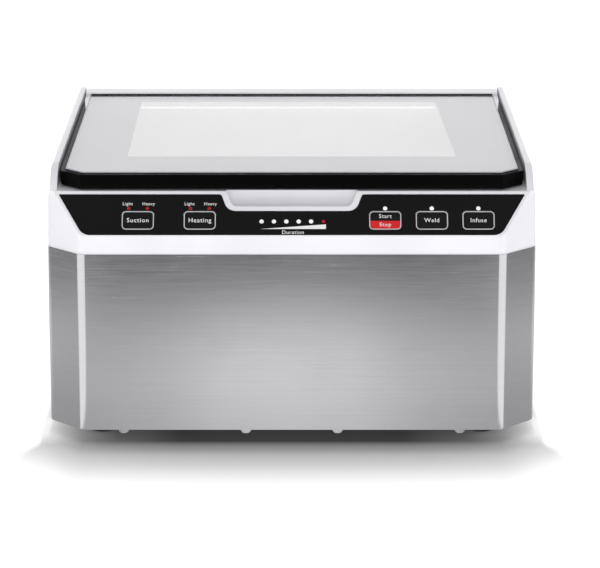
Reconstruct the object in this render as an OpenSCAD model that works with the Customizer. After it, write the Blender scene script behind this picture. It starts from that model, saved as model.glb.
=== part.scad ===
// Chamber vacuum sealer for the kitchen counter.
// X is across the front, Y runs from the front to the back, Z is up.
// The origin is on the counter, in the middle of the overall box.

/* [Body] */
// Width across the steel sides
body_w = 350; // [340:1:420]
// Depth from the front face to the rear cover
body_d = 333; // [325:1:400]
// Height of the steel wrap
wrap_h = 130; // [122:1:160]
// Height of the rubber feet
foot_h = 8; // [6:0.5:12]
// Cut across each front corner
corner_cut = 25; // [20:1:30]
// Bend radius of the steel at the corner folds
fold_r = 9; // [2:0.5:12]
// Steel sheet thickness
steel_t = 1; // [0.8:0.1:1.5]
// Width of the steel's bottom flange
flange_w = 14; // [10:1:18]
// Gap around a piece that sits inside another
fit_gap = 0.2; // [0.1:0.05:0.3]

/* [Top housing] */
// Moulded wall thickness
wall_t = 3; // [2.5:0.1:3.6]
// Step from the steel's face in to the housing's face
housing_inset = 0.5; // [0.2:0.1:1]
// Depth of the skirt that reaches down inside the steel
skirt_h = 10; // [6:1:14]
// Height of the upright band above the steel
band_h = 13.3; // [10:0.1:18]
// Height that the control slope climbs
slope_rise = 28.2; // [27:0.1:36]
// How far the control slope leans back
slope_run = 19.5; // [17:0.1:20]
// Height of the side wings above the deck
wing_h = 15.3; // [12.5:0.1:17]
// Thickness of the side wings
wing_t = 5; // [4.5:0.1:6]
// Step from the steel's side in to the wing's outer face
wing_inset = 3; // [2:0.1:4]
// Length of the curve at the wing's front end
wing_curve = 31; // [20:1:40]

/* [Finger scoop] */
// Radius of the scoop's hollow
scoop_r = 14; // [7:0.5:16]
// How far the hollow's middle sits in front of the scoop's lip
scoop_ahead = 3.5; // [-4:0.1:6]
// Half width of the scoop at its lip
scoop_half = 42; // [34:1:44]
// How far the scoop's sides spread to the top of the slope
scoop_spread = 4.3; // [0:0.1:6]
// Height of the scoop's lip, measured up the slope
scoop_lip = 22.5; // [22:0.1:24]

/* [Controls] */
// Overlay film thickness
film_t = 0.5; // [0.3:0.1:0.8]
// Bare band between the film and the corner fold
film_side = 2.4; // [1.5:0.1:5]
// Height of the film's top edge, measured up the slope
film_top = 31.7; // [30:0.1:33]
// Height of the bottom of the film's notch, measured up the slope
notch_v = 19; // [17:0.1:20]
// Half width of the notch at its top
notch_half = 50; // [46:0.5:56]
// Key width
key_w = 23.1; // [16:0.1:26]
// Key height, measured up the slope
key_h = 14.3; // [10:0.1:14.6]
// Height of the key centres, measured up the slope
key_v = 11.9; // [11:0.1:12]
// Gap around each key
key_gap = 0.3; // [0.2:0.05:0.5]
// Travel of a key
key_travel = 0.4; // [0.2:0.05:0.6]
// Middle of the two left keys
left_keys_x = 87; // [80:1:90]
// Pitch of the two left keys
left_pitch = 43.8; // [30:0.1:46]
// Middle of the three right keys
right_keys_x = 99.1; // [92:0.1:101]
// Pitch of the three right keys
right_pitch = 33; // [27:0.1:33.5]
// Height of the lamp row, measured up the slope
lamp_v = 21; // [20.6:0.1:22]
// Spacing of the two lamps over a left key
lamp_pair = 13.2; // [8:0.1:16]
// Pitch of the six progress lamps
progress_pitch = 8.75; // [6:0.05:9]
// Radius of a clear lamp
clear_lamp_r = 1.5; // [1:0.05:1.8]
// Radius of a red lamp
red_lamp_r = 1.2; // [0.8:0.05:1.5]
// Depth of the control board behind the film's face
board_depth = 8; // [7:0.1:9]
// Circuit board thickness
pcb_t = 1.6; // [1:0.1:2]

/* [Lid] */
// Gap under the lid's frame
lid_gap = 1.2; // [0.8:0.1:2]
// Thickness of the frame's ledge under the glass
ledge_t = 2.1; // [1.8:0.1:3]
// Glass thickness
glass_t = 10; // [6:0.5:12]
// How far the glass stands above the frame
glass_proud = 1.8; // [0.5:0.1:3]
// Frame width beside the glass
frame_side = 3.7; // [3:0.1:5]
// Frame thickness in front of the glass
frame_front = 1.5; // [1.2:0.1:3]
// Gap between the lid and each wing
lid_side_gap = 1.6; // [1:0.1:3]
// Distance of the lid's front edge behind the front face
lid_front = 20.8; // [20.5:0.1:24]
// Cut across the lid's front corners
lid_cut = 15; // [10:1:18]
// Radius of the hinge barrel
barrel_r = 12; // [11:0.5:12.5]
// Gap around the hinge barrel
barrel_gap = 0.6; // [0.4:0.1:1]
// Distance of the hinge axis in front of the rear face
hinge_back = 14.5; // [14:0.1:17]
// Radius of the hinge pins
hinge_pin_r = 3; // [2:0.1:4]
// Radial running clearance of shafts and pins
run_gap = 0.05; // [0.02:0.01:0.1]

/* [Chamber] */
// Deck width kept on each side of the chamber
deck_side = 32; // [31:1:40]
// Distance of the chamber's front edge behind the front face
chamber_front = 49; // [49:1:60]
// Distance of the chamber's rear edge in front of the rear face
chamber_back = 58; // [57:1:70]
// Depth of the chamber
chamber_depth = 75; // [60:1:80]
// Inner corner radius of the chamber
chamber_r = 16; // [8:1:24]
// Thickness of the chamber's sheet
tub_t = 1.2; // [0.8:0.1:1.5]
// Width of the chamber's rim
rim_w = 4; // [3:0.1:4.5]
// Width of the gasket
gasket_w = 7; // [5:0.1:7]
// Depth of the gasket's channel
channel_d = 3.5; // [2.5:0.1:4]
// Gap between the closed lid's glass and the gasket
gasket_gap = 0.3; // [0.3:0.1:0.6]
// Length of the seal bar
seal_bar_l = 262; // [180:1:264]
// Width of the seal bar
seal_bar_w = 14; // [10:1:16]
// Height of the seal bar
seal_bar_h = 24; // [16:1:28]
// Travel of the seal bar
seal_travel = 6; // [3:0.5:8]
// Thickness of the silicone counter bar
counter_t = 6; // [4:0.5:8]
// Distance between the lift pins
lift_pitch = 190; // [120:1:220]
// Radius of the lift pins
lift_pin_r = 4; // [3:0.5:5]

/* [Pump] */
// Distance of the pump's axis behind the front face
pump_y = 122; // [116:1:126]
// Height of the pump's axis
pump_z = 57; // [56:1:60]
// Radius of the motor shell
motor_r = 42; // [34:1:43]
// Length of the motor shell
motor_l = 96; // [80:1:110]
// Throw of the pump's eccentrics
crank_throw = 6; // [3:0.5:6]
// Radius of the pump's shaft
shaft_r = 5; // [4:0.5:6]
// Radius of the pistons
piston_r = 22; // [16:1:24]
// Radius of the pump's fan
pump_fan_r = 36; // [26:1:38]

/* [Power] */
// Distance that the inlet and the switch stand out at the rear
rear_proud = 2; // [1.5:0.1:3]
// Distance of the inlet's middle from the centre line
inlet_x = -112; // [-125:1:-105]
// Distance of the switch's middle from the centre line
switch_x = -62; // [-75:1:-55]
// Height of the inlet and the switch
inlet_z = 50; // [40:1:70]
// Width of the cooling fan's frame
fan_w = 60; // [40:1:60]
// Depth of the cooling fan's frame
fan_d = 15; // [10:1:20]
// Distance of the cooling fan's middle from the centre line
fan_x = 92; // [80:1:110]
// Full swing of the power rocker
rocker_swing = 16; // [10:1:18]

/* [Hidden] */
$fn = 48;

// Heights
wrap_z0 = foot_h;
wrap_z1 = foot_h + wrap_h;
slope_z0 = wrap_z1 + band_h;
deck_z = slope_z0 + slope_rise;
wing_z = deck_z + wing_h;
base_z = wrap_z0 + 2 * steel_t;
lid_z0 = deck_z + lid_gap;
glass_z0 = lid_z0 + ledge_t;
glass_z1 = glass_z0 + glass_t;
tub_z0 = deck_z - chamber_depth - tub_t;

// Depths: fy(d) is the place d behind the front face
total_d = body_d + rear_proud;
function fy(d) = d - total_d / 2;
hinge_y = fy(body_d - hinge_back);
hinge_z = wing_z - barrel_r;
cover_y = fy(body_d - steel_t);

// Widths
wing_out = body_w / 2 - wing_inset;
wing_in = wing_out - wing_t;
frame_half = wing_in - lid_side_gap;
glass_half = frame_half - frame_side;
barrel_half = frame_half;
chamber_half = body_w / 2 - deck_side;

// The control slope
slope_angle = atan2(slope_rise, slope_run);
slope_y0 = fy(housing_inset);
slope_y1 = fy(housing_inset + slope_run);
slope_l = norm([slope_run, slope_rise]);
keys_x = [-left_keys_x - left_pitch / 2, -left_keys_x + left_pitch / 2,
    right_keys_x - right_pitch, right_keys_x, right_keys_x + right_pitch];
progress_v = key_v - 0.8;
progress_x = [for (i = [0:5]) (i - 2.5) * progress_pitch + 0.5];
clear_places = concat([for (i = [2:4]) [keys_x[i], lamp_v]], [for (i = [0:4]) [progress_x[i], progress_v]]);
red_places = concat([for (i = [0:1]) for (s = [-1, 1]) [keys_x[i] + s * lamp_pair / 2, lamp_v]],
    [[progress_x[5], progress_v]]);

// Chamber fittings
bar_y = fy(chamber_front) + 11;
bar_top = glass_z0 - counter_t - 0.5 - seal_travel;
post_top = bar_top - seal_bar_h - 8;
port_x = 96;
port_y = fy(body_d - chamber_back) - 34;

// Pump
axis_y = fy(pump_y);
case_w = 2 * piston_r + 6;
case_x = motor_l / 2 + 2;
crank_x = case_x + case_w / 2;
eccentric_r = shaft_r + crank_throw + 1.5;
big_end_r = eccentric_r + crank_throw + 0.6;
case_half_y = 31;
case_half_z = 35;
cylinder_l = 34;
mount_z = pump_z - case_half_z;

// Finish of a rounded corner: the points of the arc that replaces it
function corner(a, b, c, r) = r == 0 ? [b] : let(
    u = (a - b) / norm(a - b), v = (c - b) / norm(c - b),
    half = acos(u * v) / 2, mid = b + (u + v) / norm(u + v) * r / sin(half),
    p = b + u * r / tan(half) - mid, q = b + v * r / tan(half) - mid,
    start = atan2(p.y, p.x), turn = atan2(q.y, q.x) - start,
    sweep = turn > 180 ? turn - 360 : turn < -180 ? turn + 360 : turn,
    steps = max(2, ceil(abs(sweep) / 11)))
    [for (i = [0:steps]) mid + r * [cos(start + sweep * i / steps), sin(start + sweep * i / steps)]];
// An outline with a radius for each of its corners
function rounded(points, radii) = let(n = len(points)) [for (i = [0:n - 1])
    each corner(points[(i + n - 1) % n], points[i], points[(i + 1) % n], radii[i])];
function rounded_box(x0, x1, y0, y1, r) = rounded([[x0, y0], [x1, y0], [x1, y1], [x0, y1]], [r, r, r, r]);

// The body's plan, set in from the steel's face, with its own rear edge
function plan(inset, rear, r = fold_r) = let(w = body_w / 2 - inset, f = fy(inset),
    c = corner_cut - inset * (2 - sqrt(2)))
    rounded([[-w, rear], [-w, f + c], [-w + c, f], [w - c, f], [w, f + c], [w, rear]], [0, r, r, r, r, 0]);
// Half the width of the control slope, at a height measured up the slope
function fold_x(v) = body_w / 2 - corner_cut + housing_inset * (1 - sqrt(2)) + v * cos(slope_angle);
// The housing's outline seen from the side, set in by t from its outer face
function side_outline(t, low) = [[slope_y0 + t, low],
    [slope_y0 + t, slope_z0 - t * tan((90 - slope_angle) / 2)],
    [slope_y1 + t * tan(slope_angle / 2), deck_z - t],
    [fy(body_d - housing_inset) - t, deck_z - t], [fy(body_d - housing_inset) - t, low]];
function ring_box(grow, r) = rounded_box(-chamber_half - grow, chamber_half + grow,
    fy(chamber_front) - grow, fy(body_d - chamber_back) + grow, r);
// The lid's plan, set in from its outer face
function lid_plan(inset, front_inset, rear) = let(w = frame_half - inset, f = fy(lid_front) + front_inset,
    c = lid_cut - (inset + front_inset) * (1 - sqrt(2) / 2))
    [[-w, rear], [-w, f + c], [-w + c, f], [w - c, f], [w, f + c], [w, rear]];

function span(mid, low, high) = [mid + low, mid + high];
function around(mid, half) = [mid - half, mid + half];
module slab(points, z0, z1) translate([0, 0, z0]) linear_extrude(z1 - z0) polygon(points);
module block(x, y, z) translate([x[0], y[0], z[0]]) cube([x[1] - x[0], y[1] - y[0], z[1] - z[0]]);
module along_x(points, x0, x1)
    translate([x0, 0, 0]) rotate([90, 0, 90]) linear_extrude(x1 - x0) polygon(points);
module along_y(points, y0, y1)
    translate([0, y1, 0]) rotate([90, 0, 0]) linear_extrude(y1 - y0) polygon(points);
module rod_x(r, x0, x1, y, z) translate([x0, y, z]) rotate([0, 90, 0]) cylinder(r = r, h = x1 - x0);
module rod_y(r, y0, y1, x, z) translate([x, y1, z]) rotate([90, 0, 0]) cylinder(r = r, h = y1 - y0);
module rod_z(r, z0, z1, x, y) translate([x, y, z0]) cylinder(r = r, h = z1 - z0);
module both_sides() { children(); mirror([1, 0, 0]) children(); }
// An upright slot with round ends, as a flat shape
module slot(x, low, high, r) {
    translate([x - r, low + r]) square([2 * r, high - low - 2 * r]);
    translate([x, low + r]) circle(r = r);
    translate([x, high - r]) circle(r = r);
}
// Children drawn with X across, Y up the slope and Z out of its face
module on_slope() translate([0, slope_y0, slope_z0]) rotate([slope_angle, 0, 0]) children();

// A round tube swept along points that lie on a smooth route
module tube(path, r, sides = 10) {
    n = len(path);
    function heading(i) = let(d = path[min(i + 1, n - 1)] - path[max(i - 1, 0)]) d / norm(d);
    function side_of(t) = let(s = cross(t, abs(t.z) > 0.9 ? [1, 0, 0] : [0, 0, 1])) s / norm(s);
    function frames(i, last) = i == n ? [] : let(t = heading(i), s = last - (last * t) * t, u = s / norm(s))
        concat([[u, cross(t, u)]], frames(i + 1, u));
    rings = frames(0, side_of(heading(0)));
    points = [for (i = [0:n - 1]) for (k = [0:sides - 1])
        path[i] + r * (rings[i][0] * cos(360 * k / sides) + rings[i][1] * sin(360 * k / sides))];
    walls = [for (i = [0:n - 2]) for (k = [0:sides - 1])
        [i * sides + k, (i + 1) * sides + k, (i + 1) * sides + (k + 1) % sides, i * sides + (k + 1) % sides]];
    ends = [[for (k = [0:sides - 1]) k], [for (k = [sides - 1:-1:0]) (n - 1) * sides + k]];
    polyhedron(points, concat(ends, walls), convexity = 6);
}
// A smooth route through four control points
function bezier(a, b, c, d, steps) = [for (i = [0:steps]) let(t = i / steps, s = 1 - t)
    s * s * s * a + 3 * s * s * t * b + 3 * s * t * t * c + t * t * t * d];

// ---- Body ----

module steel_wrap() color("silver") {
    rear = fy(body_d);
    difference() {
        slab(plan(0, rear), wrap_z0, wrap_z1);
        slab(plan(steel_t, rear + 1, fold_r - steel_t), wrap_z0 + steel_t, wrap_z1 + 1);
        slab(plan(flange_w, fy(body_d - flange_w)), wrap_z0 - 1, wrap_z0 + steel_t + 1);
        flange_holes();
    }
}
flange_screw_x = [33, 121];
flange_screw_y = fy(5.2);
module flange_holes() both_sides()
    for (x = flange_screw_x) rod_z(1.6, wrap_z0 - 1, base_z + 1, x, flange_screw_y);

foot_x = body_w / 2 - 37.5;
feet_y = [fy(29), fy(body_d - 29)];
module base_plate() color("lightgray") difference() {
    slab(plan(steel_t + fit_gap, cover_y - fit_gap, fold_r - steel_t - fit_gap), wrap_z0 + steel_t, base_z);
    flange_holes();
    both_sides() for (y = feet_y) rod_z(2.1, wrap_z0, base_z + 1, foot_x, y);
    for (i = [-4:4], y = [-32, 4]) translate([0, fy(pump_y), wrap_z0]) linear_extrude(2 * steel_t + 1)
        slot(i * 9, y, y + 28, 2);
}

module rear_cover() color("lightgray") {
    half = body_w / 2 - steel_t - fit_gap;
    difference() {
        block([-half, half], [cover_y, fy(body_d)], [base_z + fit_gap - steel_t, wrap_z1 - fit_gap]);
        block(around(inlet_x, 13.9), [cover_y - 1, fy(body_d) + 1], around(inlet_z, 10.2));
        block(around(switch_x, 13.9), [cover_y - 1, fy(body_d) + 1], around(inlet_z, 10.2));
        translate([0, fy(body_d) + 1, 0]) rotate([90, 0, 0]) linear_extrude(steel_t + 2) {
            for (i = [-5:5]) slot(fan_x + i * 5, inlet_z - 25 + abs(i) * 2, inlet_z + 25 - abs(i) * 2, 1.5);
            for (i = [-14:14]) slot(i * 8, wrap_z1 - 44, wrap_z1 - 22, 1.5);
        }
        rear_screw_places() rotate([90, 0, 0]) cylinder(r = 1.6, h = 4, center = true);
    }
}
module rear_screw_places() for (x = [-1, 1] * (body_w / 2 - 9), z = [base_z + 10, wrap_z1 - skirt_h - 6])
    translate([x, fy(body_d), z]) children();
module rear_screws() color("gray") rear_screw_places() difference() {
    union() {
        rotate([90, 0, 0]) cylinder(r = 1.5, h = 7);
        rotate([-90, 0, 0]) cylinder(r = 2.8, h = 1.4);
    }
    for (a = [0, 90]) rotate([0, a, 0]) translate([-1.7, 0.6, -0.4]) cube([3.4, 2, 0.8]);
}

module rubber_feet() color([0.1, 0.1, 0.1]) both_sides() for (y = feet_y) difference() {
    union() {
        rod_z(9, 0, wrap_z0 + steel_t, foot_x, y);
        rod_z(10, 1, wrap_z0 + steel_t, foot_x, y);
    }
    rod_z(5, -1, 4, foot_x, y);
    rod_z(2.1, 3, wrap_z0 + 5, foot_x, y);
}
module foot_screws() color("gray") both_sides() for (y = feet_y) {
    rod_z(4, 1.6, 4, foot_x, y);
    rod_z(2, 3.9, base_z + 3, foot_x, y);
    translate([foot_x, y, base_z]) cylinder(r = 3.6, h = 2.8, $fn = 6);
}
module flange_screws() color("silver") both_sides() for (x = flange_screw_x) difference() {
    union() {
        rod_z(3.5, wrap_z0 - 2.4, wrap_z0, x, flange_screw_y);
        rod_z(2.6, wrap_z0 - 3.4, wrap_z0 - 2.3, x, flange_screw_y);
        rod_z(1.5, wrap_z0 - 0.1, base_z + 3, x, flange_screw_y);
    }
    for (a = [0, 90]) translate([x, flange_screw_y, wrap_z0 - 3.4]) rotate([0, 0, a])
        translate([-1.8, -0.4, -1]) cube([3.6, 0.8, 2]);
}

// ---- Top housing ----

// Outer profile of the housing from the front, with the shoulder under each wing
function front_outline() = let(w = body_w / 2 - housing_inset, s = wing_out + 0.6)
    rounded([[-w, wrap_z1 - 1], [w, wrap_z1 - 1], [w - 0.9, deck_z - 6], [s, deck_z],
        [-s, deck_z], [-w + 0.9, deck_z - 6]], [0, 0, 3, 0.8, 0.8, 3]);
module housing_block() intersection() {
    slab(plan(housing_inset, fy(body_d - housing_inset)), wrap_z1, deck_z);
    along_x(rounded(side_outline(0, wrap_z1 - 1), [0, 3, 1.2, 1.5, 0]), -body_w, body_w);
    along_y(front_outline(), fy(-1), fy(body_d + 1));
}
module housing_skirt() slab(plan(steel_t + fit_gap, cover_y - fit_gap, fold_r - steel_t - fit_gap),
    wrap_z1 - skirt_h, wrap_z1);
module housing_hollow() intersection() {
    slab(plan(housing_inset + wall_t, fy(body_d - housing_inset) - wall_t, fold_r - wall_t),
        wrap_z1 - skirt_h - 1, deck_z - wall_t);
    along_x(side_outline(wall_t, wrap_z1 - skirt_h - 1), -body_w, body_w);
}
// The wings stand on the deck beside the lid and carry the hinge pins
module wings() {
    curve_r = (wing_curve * wing_curve + wing_h * wing_h) / (2 * wing_h);
    front = slope_y1 + 0.6;
    rear = fy(body_d - housing_inset);
    arc = [for (i = [0:10]) let(a = asin(wing_curve / curve_r) * (1 - i / 10))
        [front + wing_curve - curve_r * sin(a), wing_z - curve_r * (1 - cos(a))]];
    back = rounded([[rear, deck_z - 1], [rear, wing_z], [rear - 30, wing_z]], [0, 7, 0]);
    outline = concat([[front, deck_z - 1]], arc, [for (i = [len(back) - 2:-1:0]) back[i]]);
    both_sides() intersection() {
        along_x(outline, wing_in, wing_out);
        along_y(rounded([[wing_in, deck_z - 1], [wing_out, deck_z - 1], [wing_out, wing_z],
            [wing_in, wing_z]], [0, 0, 2.2, 1.4]), fy(0), fy(body_d));
    }
}
scoop_y = slope_y0 + scoop_lip * cos(slope_angle) - scoop_ahead;
scoop_z = slope_z0 + scoop_lip * sin(slope_angle) + sqrt(scoop_r * scoop_r - scoop_ahead * scoop_ahead);
module scoop() intersection() {
    rod_x(scoop_r, -scoop_half - 20, scoop_half + 20, scoop_y, scoop_z);
    on_slope() translate([0, 0, -30]) linear_extrude(45) polygon(rounded([
        [-scoop_half, scoop_lip - 0.3], [scoop_half, scoop_lip - 0.3],
        [scoop_half + 3 * scoop_spread, scoop_lip + 36], [-scoop_half - 3 * scoop_spread, scoop_lip + 36]],
        [6, 6, 0, 0]));
}
module key_shapes(grow, w0, w1) for (x = keys_x) key_shape(x, grow, w0, w1);
module key_shape(x, grow, w0, w1) on_slope() translate([0, 0, w0]) linear_extrude(w1 - w0)
    polygon(rounded_box(x - key_w / 2 - grow, x + key_w / 2 + grow,
        key_v - key_h / 2 - grow, key_v + key_h / 2 + grow, 3 + grow));
module lamp_shapes(places, r, w0, w1) on_slope()
    for (p = places) translate([p.x, p.y, w0]) cylinder(r = r, h = w1 - w0);
module film_shape(grow, w0, w1) {
    low = 0.9 - grow;
    top = film_top + grow;
    side = film_side - grow;
    notch_low = notch_v + grow;
    on_slope() translate([0, 0, w0]) linear_extrude(w1 - w0) polygon(rounded([
        [-fold_x(low) + side, low], [fold_x(low) - side, low], [fold_x(top) - side, top],
        [notch_half - grow, top], [notch_half - grow - 4.5, notch_low], [-notch_half + grow + 4.5, notch_low],
        [-notch_half + grow, top], [-fold_x(top) + side, top]], [9, 9, 0.6, 2.5, 8, 8, 2.5, 0.6]));
}
module top_housing() color("white") difference() {
    union() {
        difference() {
            union() {
                housing_block();
                housing_skirt();
            }
            difference() {
                housing_hollow();
                rod_x(scoop_r + wall_t, -scoop_half - 10, scoop_half + 10, scoop_y, scoop_z);
                rod_x(barrel_r + barrel_gap + wall_t, -body_w, body_w, hinge_y, hinge_z);
                slab(ring_box(rim_w + gasket_w + 5, chamber_r + 14), deck_z - channel_d - 3, deck_z);
            }
        }
        wings();
    }
    scoop();
    rod_x(barrel_r + barrel_gap, -wing_in, wing_in, hinge_y, hinge_z);
    slab(ring_box(tub_t + fit_gap, chamber_r), deck_z - 20, deck_z + 1);
    slab(ring_box(rim_w + fit_gap, chamber_r + rim_w), deck_z - tub_t, deck_z + 1);
    difference() {
        slab(ring_box(rim_w + 1.5 + gasket_w, chamber_r + 10), deck_z - channel_d, deck_z + 1);
        slab(ring_box(rim_w + 1.5, chamber_r + 3), deck_z - channel_d - 1, deck_z + 2);
    }
    both_sides() rod_x(hinge_pin_r + 0.02, wing_in - 1, wing_out - 1, hinge_y, hinge_z);
    film_shape(0.15, -film_t, 5);
    key_shapes(key_gap, -20, 5);
    lamp_shapes(clear_places, clear_lamp_r + 0.1, -20, 5);
    lamp_shapes(red_places, red_lamp_r + 0.1, -20, 5);
}

// ---- Controls ----

module control_overlay() color([0.1, 0.1, 0.1]) difference() {
    film_shape(0, -film_t, 0);
    key_shapes(key_gap, -5, 5);
    lamp_shapes(clear_places, clear_lamp_r + 0.1, -5, 5);
    lamp_shapes(red_places, red_lamp_r + 0.1, -5, 5);
}
// A key: its cap, the rim that keeps it in and the stem over its switch
key_rim_w = -wall_t - 0.4;
key_stem_w = key_rim_w - 1.9;
module key(i) color([0.12, 0.12, 0.12]) {
    key_shape(keys_x[i], 0, key_rim_w - 0.1, 0);
    on_slope() translate([keys_x[i] - key_w / 2 - 1, key_v - key_h / 2 + 2, key_rim_w - 1])
        cube([key_w + 2, key_h - 4, 1]);
    on_slope() translate([keys_x[i], key_v, key_stem_w]) cylinder(r = 1.8, h = 1);
}
module key_left_outer() key(0);
module key_left_inner() key(1);
module key_right_inner() key(2);
module key_right_middle() key(3);
module key_right_outer() key(4);
module clear_lamps() color("white") lamp_shapes(clear_places, clear_lamp_r, -board_depth, 0);
module red_lamps() color("red") lamp_shapes(red_places, red_lamp_r, -board_depth, 0);
module control_board() color("darkgreen") {
    half = max(keys_x[4], -keys_x[0]) + 8;
    notch = scoop_half + 13;
    low = 3;
    top = lamp_v + 5.5;
    on_slope() translate([0, 0, -board_depth - pcb_t]) linear_extrude(pcb_t) polygon([
        [-half, low], [half, low], [half, top], [notch, top], [notch, notch_v - 1], [-notch, notch_v - 1], [-notch, top], [-half, top]]);
}
module tact_switches() color("dimgray") on_slope() for (x = keys_x) {
    top = key_stem_w - key_travel - 0.3;
    translate([x - 3, key_v - 3, -board_depth]) cube([6, 6, board_depth + top - 0.6]);
    translate([x, key_v, -board_depth]) cylinder(r = 1.7, h = board_depth + top);
}

// ---- Chamber ----

module chamber_tub() color("silver") difference() {
    union() {
        slab(ring_box(tub_t, chamber_r + tub_t), tub_z0, deck_z - tub_t / 2);
        slab(ring_box(rim_w, chamber_r + rim_w), deck_z - tub_t, deck_z);
    }
    slab(ring_box(0, chamber_r), tub_z0 + tub_t, deck_z + 1);
    rod_z(6.1, tub_z0 - 1, tub_z0 + 3, port_x, port_y);
    both_sides() rod_z(4.1, tub_z0 - 1, tub_z0 + 3, lift_pitch / 2, bar_y);
}
module gasket_layer(width, z0, z1) {
    mid = rim_w + 1.5 + gasket_w / 2;
    difference() {
        slab(ring_box(mid + width / 2, chamber_r + 3 + gasket_w / 2 + width / 2), z0, z1);
        slab(ring_box(mid - width / 2, chamber_r + 3 + gasket_w / 2 - width / 2), z0 - 1, z1 + 1);
    }
}
module chamber_gasket() color([0.25, 0.25, 0.25]) {
    top = glass_z0 - gasket_gap;
    gasket_layer(gasket_w - 2 * fit_gap, deck_z - channel_d, deck_z + 1);
    gasket_layer(gasket_w - 2 * fit_gap - 1.4, deck_z + 0.9, top - 0.9);
    gasket_layer(gasket_w - 2 * fit_gap - 3.2, top - 1, top);
}
module seal_bar() color("lightgray") {
    z0 = bar_top - seal_bar_h;
    difference() {
        block([-seal_bar_l / 2, seal_bar_l / 2], around(bar_y, seal_bar_w / 2), [z0, bar_top - 1.2]);
        both_sides() rod_z(lift_pin_r + 0.02, z0 - 1, z0 + 12, lift_pitch / 2, bar_y);
        for (s = [-1, 1]) block([-seal_bar_l / 2 - 1, seal_bar_l / 2 + 1],
            around(bar_y + s * seal_bar_w / 2, 1.5), [z0 + 7, z0 + 13]);
    }
}
module heating_element() color("tan") {
    block([-seal_bar_l / 2, seal_bar_l / 2], around(bar_y, seal_bar_w / 2), [bar_top - 1.2, bar_top - 0.5]);
    block([-seal_bar_l / 2 + 6, seal_bar_l / 2 - 6], around(bar_y, 2.5), [bar_top - 0.6, bar_top]);
}
module lift_pins() color("silver") both_sides()
    rod_z(lift_pin_r, tub_z0 + tub_t + seal_travel + 12, bar_top - seal_bar_h + 12, lift_pitch / 2, bar_y);
module lift_cylinders() color("gray") both_sides() difference() {
    union() {
        rod_z(9, tub_z0 + tub_t, post_top, lift_pitch / 2, bar_y);
        rod_z(11, tub_z0 + tub_t, tub_z0 + tub_t + 4, lift_pitch / 2, bar_y);
        rod_z(4, tub_z0 - 7, tub_z0 + tub_t + 1, lift_pitch / 2, bar_y);
    }
    rod_z(lift_pin_r + run_gap, tub_z0 + tub_t + 5, post_top + 1, lift_pitch / 2, bar_y);
    rod_z(1.5, tub_z0 - 8, tub_z0 + tub_t + 6, lift_pitch / 2, bar_y);
}
module counter_bar() color("orangered") {
    half = seal_bar_l / 2 + 2;
    block([-half, half], around(bar_y, 8), [glass_z0 - 3, glass_z0]);
    block([-half, half], around(bar_y, 4.5), [glass_z0 - counter_t, glass_z0 - 2.9]);
}
module suction_port() color("dimgray") difference() {
    union() {
        rod_z(10, tub_z0 + tub_t, tub_z0 + tub_t + 3, port_x, port_y);
        rod_z(6, tub_z0 - 2, tub_z0 + tub_t + 1, port_x, port_y);
        rod_z(8, tub_z0 - 4, tub_z0, port_x, port_y);
        rod_z(3.9, tub_z0 - 16, tub_z0 - 1, port_x, port_y);
    }
    rod_z(2.4, tub_z0 - 17, tub_z0 + tub_t + 1, port_x, port_y);
    for (a = [0:60:300]) rod_z(1.6, tub_z0, tub_z0 + 9, port_x + 5 * cos(a), port_y + 5 * sin(a));
}

// ---- Lid ----

glass_rear = hinge_y - barrel_r - 4.4;
wedge_l = 52;
module lid_frame() color([0.08, 0.08, 0.08]) difference() {
    union() {
        slab(lid_plan(0, 0, glass_rear), lid_z0 + 1.9, glass_z1 - glass_proud);
        slab(lid_plan(0.6, 0.6, glass_rear), lid_z0, lid_z0 + 2);
    }
    slab(lid_plan(frame_side - fit_gap, frame_front - fit_gap, glass_rear + 1), glass_z0, glass_z1 + 1);
    slab(lid_plan(frame_side + 3.2, frame_front + 9.5, glass_rear + 1), lid_z0 - 1, glass_z1);
    wedges();
    rod_z(3.2, lid_z0 - 1, lid_z0 + 1.6, magnet_x, magnet_y);
}
// Long tapers in which the hinge bar's arms meet the frame's sides
module wedges(inner = 1) both_sides() slab([[glass_half + fit_gap - inner, glass_rear - wedge_l],
    [glass_half + fit_gap + 0.3, glass_rear - wedge_l], [frame_half + 1, glass_rear - 4],
    [frame_half + 1, glass_rear + 1], [glass_half + fit_gap - inner, glass_rear + 1]],
    glass_z0 + 1, glass_z1 + 1);
module lid_glass() color([0.85, 0.88, 0.92, 0.6])
    slab(lid_plan(frame_side, frame_front, glass_rear), glass_z0, glass_z1);
module lid_hinge_bar() color("white") difference() {
    union() {
        rod_x(barrel_r, -barrel_half, barrel_half, hinge_y, hinge_z);
        along_x(rounded([[glass_rear + fit_gap, glass_z0], [hinge_y, glass_z0], [hinge_y, wing_z],
            [glass_rear + fit_gap, wing_z]], [0, 0, 0, 1.5]), -barrel_half, barrel_half);
        block([-glass_half + 12, glass_half - 12], [glass_rear - 11.5, glass_rear + 4],
            [lid_z0 + 0.3, glass_z0]);
        intersection() {
            wedges(0);
            block([-frame_half, frame_half], [glass_rear - wedge_l, glass_rear + 1],
                [glass_z0, glass_z1 - 0.6]);
        }
        both_sides() block([glass_half + fit_gap, frame_half], [glass_rear + fit_gap, glass_rear + 6],
            [glass_z0 + 1, glass_z1 - 0.6]);
    }
    both_sides() {
        rod_x(hinge_pin_r + run_gap, barrel_half - 20, barrel_half + 1, hinge_y, hinge_z);
        rod_x(spring_r + 1.2, barrel_half - spring_l, barrel_half + 1, hinge_y, hinge_z);
    }
}
module hinge_pins() color("gray") both_sides()
    rod_x(hinge_pin_r, barrel_half - 19, wing_out - 1.2, hinge_y, hinge_z);
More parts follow.
